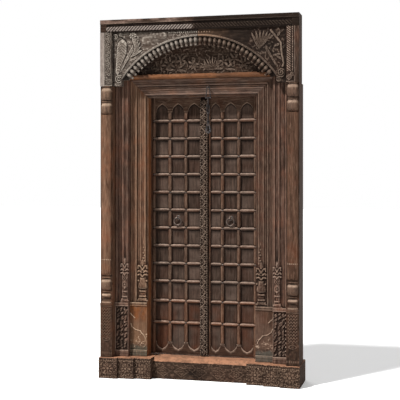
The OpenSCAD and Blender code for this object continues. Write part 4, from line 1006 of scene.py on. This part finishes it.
def sill():
    """The sill: seven carved blocks stepped in depth, with the middle worn down to a slope and a scorched
    patch."""
    edges, faces = (338.0, 458.0, 572.0, SILL_X), (20.0, 2.0, -16.0)
    middle_face, slope_d, slope_fall, slope_z = 66.0, 48.0, 25.0, 60.0
    slope_end = middle_face + slope_d
    parts = []
    for side in (LEFT, RIGHT):
        for i in range(3):
            mid = side * (edges[i] + edges[i + 1]) / 2
            half = (edges[i + 1] - edges[i]) / 2

            def carving(x, z, mid=mid, half=half, seed=260 + 7 * i + side):
                """A block's carving: a rosette among winding stems, between two rows of beads."""
                stems = (tendrils(x, z, 12, seed, 7.0), tendrils(x, z, 8, seed + 3, 6.0))
                beads = (5.0 * dome(np.hypot((x % 13) - 6.5, z - bead_z), 4.6) for bead_z in (124, 12))
                return tallest(*stems, rosette(x, z, (mid, 70), 0.62 * half, 8, 5.5), *beads) - 5.0

            x0, x1 = sorted((side * edges[i], side * edges[i + 1]))
            parts.append(sill_block(x0, x1, faces[i], SILL_H, carving, 60 + 7 * i + side))

    def frieze(x, z):
        """The middle's carving: diamonds with a rosette in each and at their corners, over winding stems."""
        cell = (x + 65) % 130 - 65
        diamond = 4.0 * dome((np.abs(cell) / 58 + np.abs(z - 56) / 42) - 0.9, 0.09)
        flower = rosette(cell, z, (0, 56), 26, 8, 4.0)
        corners = (rosette(cell, z, (cx, cz), 13, 6, 3.0) for cx in (-65, 65) for cz in (92, 22))
        out = tallest(diamond, flower, tendrils(x, z, 17, 270, 4.5), *corners)
        return out * (0.55 + 0.45 * ease(0.5 + lumps(x, z, 70, 71))) - 3.5

    middle, masks = sill_block(-edges[0], edges[0], middle_face, SILL_H, frieze, 75)
    x, d, z = np.moveaxis(middle, -1, 0)
    fall = slope_fall * np.clip((slope_end - d) / slope_d, 0, 1) * (d < slope_end)
    middle[..., 2] -= fall * ease((z - slope_z) / (SILL_H - slope_z))
    scorch = np.exp(-((x + 20) / 75) ** 2 - ((z - 50) / 55) ** 2)
    masks["wear"] = 0.45 * masks["wear"]
    masks["hollow"] = np.clip(masks["hollow"] + 0.75 * scorch * (d < middle_face + 4), 0, 1)
    parts.append((middle, masks))
    return put("sill", parts, "frame", ["sill"], sill_level)


# The leaves' battens and rails


def boards(side, name, body):
    """The boards of a leaf: one worn face, with painted shadow beside and under the battens and under the
    arches, each field with a tone of its own, the lowest red."""
    meeting_x = 31.7 if side > 0 else -31.3
    x, z = np.linspace(meeting_x, BOARD_X, 84)[:, None], np.linspace(LEAF_Z, LEAF_TOP, 240)[None]
    xx, zz = x + 0 * z, z + 0 * x
    column = np.searchsorted(UPRIGHTS, xx.ravel()).reshape(xx.shape)
    row = np.searchsorted(np.sort(ROWS), zz.ravel()).reshape(xx.shape)
    rng = np.random.default_rng(130 + side)
    cell, red = rng.uniform(-0.2, 0.5, (4, 14)), rng.uniform(-0.35, 0.2, (4, 14))
    beside = np.min([np.abs(xx - u) for u in UPRIGHTS], 0) - UPRIGHT_HALF
    row_gap = np.min([np.abs(zz - r) for r in ROWS], 0) - ROW_HALF
    arch = np.zeros_like(x)
    for low, high in columns(side):
        inside = (x > low + 2) & (x < high - 2)
        arch = np.where(inside, ogee(x - (low + high) / 2, high - low - 4, POINT_H), arch)
    under_arch = POINT_Z + arch - zz
    over = np.min([np.where(zz < r, r - zz, np.inf) for r in ROWS], 0) - ROW_HALF
    past = [np.where(side * (xx - u) > 0, np.abs(xx - u), np.inf) for u in UPRIGHTS]
    after = np.min(past, 0) - UPRIGHT_HALF
    edge = np.minimum(np.minimum(beside, row_gap), 0.5 * under_arch)
    # Painted shadow below each cross batten and to the right of each upright
    shade = np.maximum(0.75 * ease((34 - over) / 26), 0.5 * ease((26 - after) / 22))
    split = 1.4 * np.exp(-((xx - 190) / 1.5) ** 2) * (zz < 1500)
    rise = 0.7 * lumps(xx * 2, zz * 0.2, 18, 131 + side) - split
    ash = np.clip(cell[column, row] + 0.15 * ease((zz - 1780) / 60) + 0.3 * lumps(xx, zz, 40, 133), 0, 1)
    low_red = (1.1 if side < 0 else 0.7) * ease((640 - zz) / 260)
    tone = np.clip(red[column, row] + low_red * (0.7 + 0.6 * lumps(xx, zz, 60, 134)), 0, 1)
    skin = carved(side * xx, BOARD_SET - rise, zz, BOARD_SET + 26, rise, 3, 2.0, ash=ash * (1 - tone),
                  tone=tone)
    # Painted shade next to the battens and under the arches, together with the painted shadows
    darken(skin, np.maximum(0.95 * ease((9 - edge) / 7), shade))
    return put(name, [skin], body, [name], board_upright)


def upright_battens(side, name, body):
    """Upright battens: cushions from row to row, round in front, pinched low and narrow where a cross
    batten passes."""
    t = np.linspace(-1, 1, 13)[None]
    parts = []
    for k, place in enumerate(UPRIGHTS):
        foot, head = (238.0, 1860.0) if k < 2 else (LEAF_Z, LEAF_TOP)
        z = np.arange(foot, head, 6.0)[:, None]
        z[-1] = head
        near = np.min([np.abs(z - r) for r in ROWS], 0)
        full = np.sqrt(np.clip(1 - (1 - np.clip((near - 5) / 20, 0, 1)) ** 2, 0, 1))
        half = 5.0 + 7.6 * full
        rise = 4.5 + (1.5 + 9.5 * dome(t, 1.12)) * full + 0.5 * lumps(t * 9, z, 22, 84 + k)
        x = side * (place + half * t + 0.7 * lumps(t * 0 + 5, z, 90, 80 + k + side))
        tone = np.clip(0.25 * lumps(t * 0, z, 125, 90 + k + 3 * side) + 0.5 * ease((760 - z) / 400), 0, 1)
        # Painted highlight on the front, towards the middle of the door; painted shade where the batten is
        # pinched under the cross battens and on its flanks
        wear = 0.55 * full * dome(t + 0.25, 0.5)
        hollow = 0.75 * (1 - full) + 0.6 * ease((np.abs(t) - 0.7) / 0.3)
        parts.append(carved(x, BOARD_SET - rise, z + 0 * t, BOARD_SET, rise, 2, 2.5, tone=tone, wear=wear,
                            hollow=hollow))
    return put(name, parts, body, [name], batten_upright)


def columns(side):
    """The grid's columns on one side, each by its inner and outer edge from the centre line."""
    inner = 46.0 if side > 0 else 26.0
    return ((inner, 119.0), (145.0, 236.0), (262.0, GRID_X))


def cross_battens(side, name, body):
    """Cross battens: cushions that swell to the middle and run out to a point over the uprights at both
    ends."""
    rng = np.random.default_rng(100 + side)
    t, a = np.linspace(0, 1, 23)[:, None], np.linspace(0, np.pi, 13)[None]
    edges = [columns(side)[0][0], UPRIGHTS[0], UPRIGHTS[1], 378.0]
    parts = []
    for z0 in ROWS:
        for low, high in zip(edges[:-1], edges[1:]):
            start = low + (0.4 if low < 60 else 2.5)
            length = high - 2.5 - start
            near = np.minimum(t, 1 - t) * length
            scale = 0.24 + 0.76 * np.sqrt(np.clip(1 - (1 - np.clip(near / 24, 0, 1)) ** 2, 0, 1))
            w, up = 11.8 * scale * rng.uniform(0.94, 1.04), 5.0 + 6.4 * scale
            x = side * (start + t * length) + 0 * a
            z = z0 + rng.uniform(-1.5, 1.5) + w * np.cos(a)
            d = BOARD_SET - up * np.sin(a) ** 0.8
            tone = np.clip(rng.uniform(-0.1, 0.35) + 0.6 * ease((700 - z0) / 260), 0, 1)
            # Painted highlight along the top of the cushion; painted shade on its underside and at its
            # pinched ends
            wear = ease((np.cos(a) + 0.1) / 0.6) * np.sin(a) ** 0.5 * ease((scale - 0.3) / 0.4)
            hollow = 0.75 * ease((-np.cos(a) - 0.45) / 0.4) + 0.5 * ease((0.5 - scale) / 0.3)
            parts.append((np.stack([x, d, z], -1), {"tone": tone, "wear": wear, "hollow": hollow}))
    return put(name, parts, body, [name], batten_level)


def nails(side, name, body):
    """Nail heads: a low dome of rings at each crossing of the battens."""
    t, a = np.linspace(0.02, 1, 6)[:, None], np.linspace(0, 2 * np.pi, 12, endpoint=False)[None]
    r, d = 5.4 * np.sin(t * np.pi / 2), BOARD_SET - 6.0 - 5.5 * np.cos(t * np.pi / 2) + 0 * a
    parts = []
    for place in UPRIGHTS:
        for z0 in ROWS:
            rings = np.stack([side * place + r * np.cos(a), d, z0 + r * np.sin(a)], -1)
            parts.append((rings, {}))
    return put(name, parts, body, [name], iron)


def ogee(v, w, h):
    """Height of a pointed arch over its width: a round arch drawn up to a point in its middle."""
    t = 1 - np.clip(np.abs(v) / (w / 2), 0, 1)
    return h * (0.86 * np.sqrt(t * (2 - t)) + 0.14 * t ** 3)


def rail(side, name, body, top):
    """A top or bottom rail: rows across it between a straight edge and the pointed arches of the columns,
    with a rounded lip along the arches."""
    h, far, lip = (POINT_H, LEAF_TOP, 7) if top else (SCALLOP_H, LEAF_Z, 10)
    spans = [np.linspace(low + 2, high - 2, 41) for low, high in columns(side)]
    x = np.unique(np.concatenate(spans + [[columns(side)[0][0], GRID_X]]))[:, None]
    curve = np.zeros_like(x)
    for low, high in columns(side):
        inside = (x > low + 2) & (x < high - 2)
        curve = np.where(inside, ogee(x - (low + high) / 2, high - low - 4, h), curve)
    edge = POINT_Z + curve if top else SCALLOP_Z - curve
    t = np.array([0, 0.02, 0.05, 0.1, 0.16, 0.24, 0.4, 0.6, 0.8, 1.0])[None]
    z = edge + (far - edge) * t
    u = np.abs(z - edge)
    rise = 9.0 - 4.0 * (1 - dome(np.clip(5 - u, 0, 5), 5.0)) - 1.6 * np.exp(-((u - 9) / 2) ** 2)
    skin = carved(side * x + 0 * z, BOARD_SET - rise, z, BOARD_SET, rise, 1, 2.5,
                  wear=np.clip(1.5 - u / lip, 0, 1) * 0.85)
    return put(name, [skin], body, [name], rail_top if top else rail_foot)


def meeting_bead():
    """The carved meeting bead: beaded edges, and between them a winding stem with a scroll in each bend."""
    w, low = 56.0, -26.0
    z, u = np.arange(LEAF_Z, OPENING_TOP - 17, 2.8)[:, None], spaced(w, 1.9, 2.5)[None]
    zz, v = z + 0 * u, u - w / 2 + 0 * z
    rise = 6.0 * dome(np.hypot(np.abs(v) - 23, (zz % 12) - 6), 4.0)
    stem = vine(v, zz, 0.0, (LEAF_Z + 6, OPENING_TOP - 4), 11.0, 70.0, 4.0, 9.0, 14.0)
    rise = np.maximum(rise, stem) - 3.0
    d = BOARD_SET - 30 - np.minimum(rise, 6.0) + round_edge(u, w, 3.0)
    # Painted shade on the ground between the beads and the stem
    skin = carved(low + u + 0 * z, d, zz, BOARD_SET, rise, 2, 2.2, floor=-1.0)
    return put("meeting_bead", [skin], "left_leaf", ["meeting_bead"], bead_upright)


for side, name in ((LEFT, "left"), (RIGHT, "right")):
    post(side, name + "_post")
    middle_jamb(side, name + "_middle_jamb")
    inner_jamb(side, name + "_inner_jamb")
    boards(side, name + "_boards", name + "_leaf")
    upright_battens(side, name + "_uprights", name + "_leaf")
    cross_battens(side, name + "_cross_battens", name + "_leaf")
    nails(side, name + "_nails", name + "_leaf")
    rail(side, name + "_top_rail", name + "_leaf", True)
    rail(side, name + "_bottom_rail", name + "_leaf", False)
lintel()
ledge()
spandrel(LEFT, "left_spandrel", plant_left, grey_level)
spandrel(RIGHT, "right_spandrel", plant_right, black_level)
tympanum()
head_border()
side_border(LEFT, "left_border", grey_upright)
side_border(RIGHT, "right_border", border_upright)
sill()
meeting_bead()

KEPT = (
    (brown_upright, ("left_stile", "right_stile", "meeting_strip")),
    (brown_level, ("pivot_beam", "left_back_ledges", "right_back_ledges")),
    (iron, ("left_rose", "right_rose", "left_eye", "right_eye", "chain_eye")),
    (rubbed_iron, ("left_ring", "right_ring")),
    (chain_iron, ("pear_link", "link_one", "link_two", "link_three", "hasp")),
)
for look, names in KEPT:
    for name in names:
        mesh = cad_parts[name].data
        mesh.materials.clear()
        mesh.materials.append(look)


# Studio


def sun(name, strength, angle, turn):
    """A soft far lamp, turned about X and Z in degrees."""
    lamp = bpy.data.lights.new(name, "SUN")
    lamp.energy, lamp.angle = strength, math.radians(angle)
    made = bpy.data.objects.new(name, lamp)
    made.rotation_euler = tuple(math.radians(t) for t in turn)
    bpy.context.scene.collection.objects.link(made)


def seen(tree, *kinds):
    """Share of rays of the given kinds, such as those from the camera."""
    path = node(tree, "ShaderNodeLightPath")
    share = path.outputs[kinds[0]]
    for kind in kinds[1:]:
        share = maths(tree, "ADD", share, path.outputs[kind])
    return share


# Strength of the world on the object and in the picture, the floor, and the camera with its lens
AMBIENT, WHITE = 0.11, 1.0
FLOOR_REACH, FLOOR_LIFT = 30.0, 0.3
CAMERA_PLACE, CAMERA_TURN = (1.6086, -6.3981, 1.4370), 0.2477
SENSOR_MM, LENS_MM, LENS_SHIFT = 36.0, 85.52, -0.0695

sun("key", 5.4, 5, (40, 0, -38))
sun("fill", 0.4, 50, (62, 0, 50))
sun("behind", 1.1, 40, (-50, 0, 30))
world = bpy.data.worlds.new("studio")
bpy.context.scene.world = world
world.use_nodes = True
ground = world.node_tree.nodes["Background"]
shown = seen(world.node_tree, "Is Camera Ray", "Is Glossy Ray", "Is Transmission Ray")
soft = node(world.node_tree, "ShaderNodeMix", {0: shown, 2: AMBIENT, 3: WHITE}, data_type="FLOAT")
world.node_tree.links.new(soft.outputs[0], ground.inputs["Strength"])
ground.inputs["Color"].default_value = (1, 1, 1, 1)

floor_mesh = bpy.data.meshes.new("floor")
corners = [(x * FLOOR_REACH, y * FLOOR_REACH, 0) for x, y in ((-1, -1), (1, -1), (1, 1), (-1, 1))]
floor_mesh.from_pydata(corners, [], [(0, 1, 2, 3)])
floor = bpy.data.objects.new("floor", floor_mesh)
bpy.context.scene.collection.objects.link(floor)
pale = bpy.data.materials.new("pale_floor")
pale.use_nodes = True
floor_mesh.materials.append(pale)
shader = pale.node_tree.nodes["Principled BSDF"]
shader.inputs["Base Color"].default_value = (0.86, 0.86, 0.86, 1)
shader.inputs["Roughness"].default_value = 0.9
shader.inputs["Emission Color"].default_value = (1, 1, 1, 1)
lift = maths(pale.node_tree, "MULTIPLY", seen(pale.node_tree, "Is Camera Ray"), FLOOR_LIFT)
pale.node_tree.links.new(lift, shader.inputs["Emission Strength"])

lens = bpy.data.cameras.new("camera")
lens.sensor_width, lens.lens, lens.shift_y = SENSOR_MM, LENS_MM, LENS_SHIFT
camera = bpy.data.objects.new("camera", lens)
camera.location = CAMERA_PLACE
camera.rotation_euler = (math.pi / 2, 0, CAMERA_TURN)
bpy.context.scene.collection.objects.link(camera)
bpy.context.scene.camera = camera
bpy.context.scene.view_settings.view_transform = "Standard"
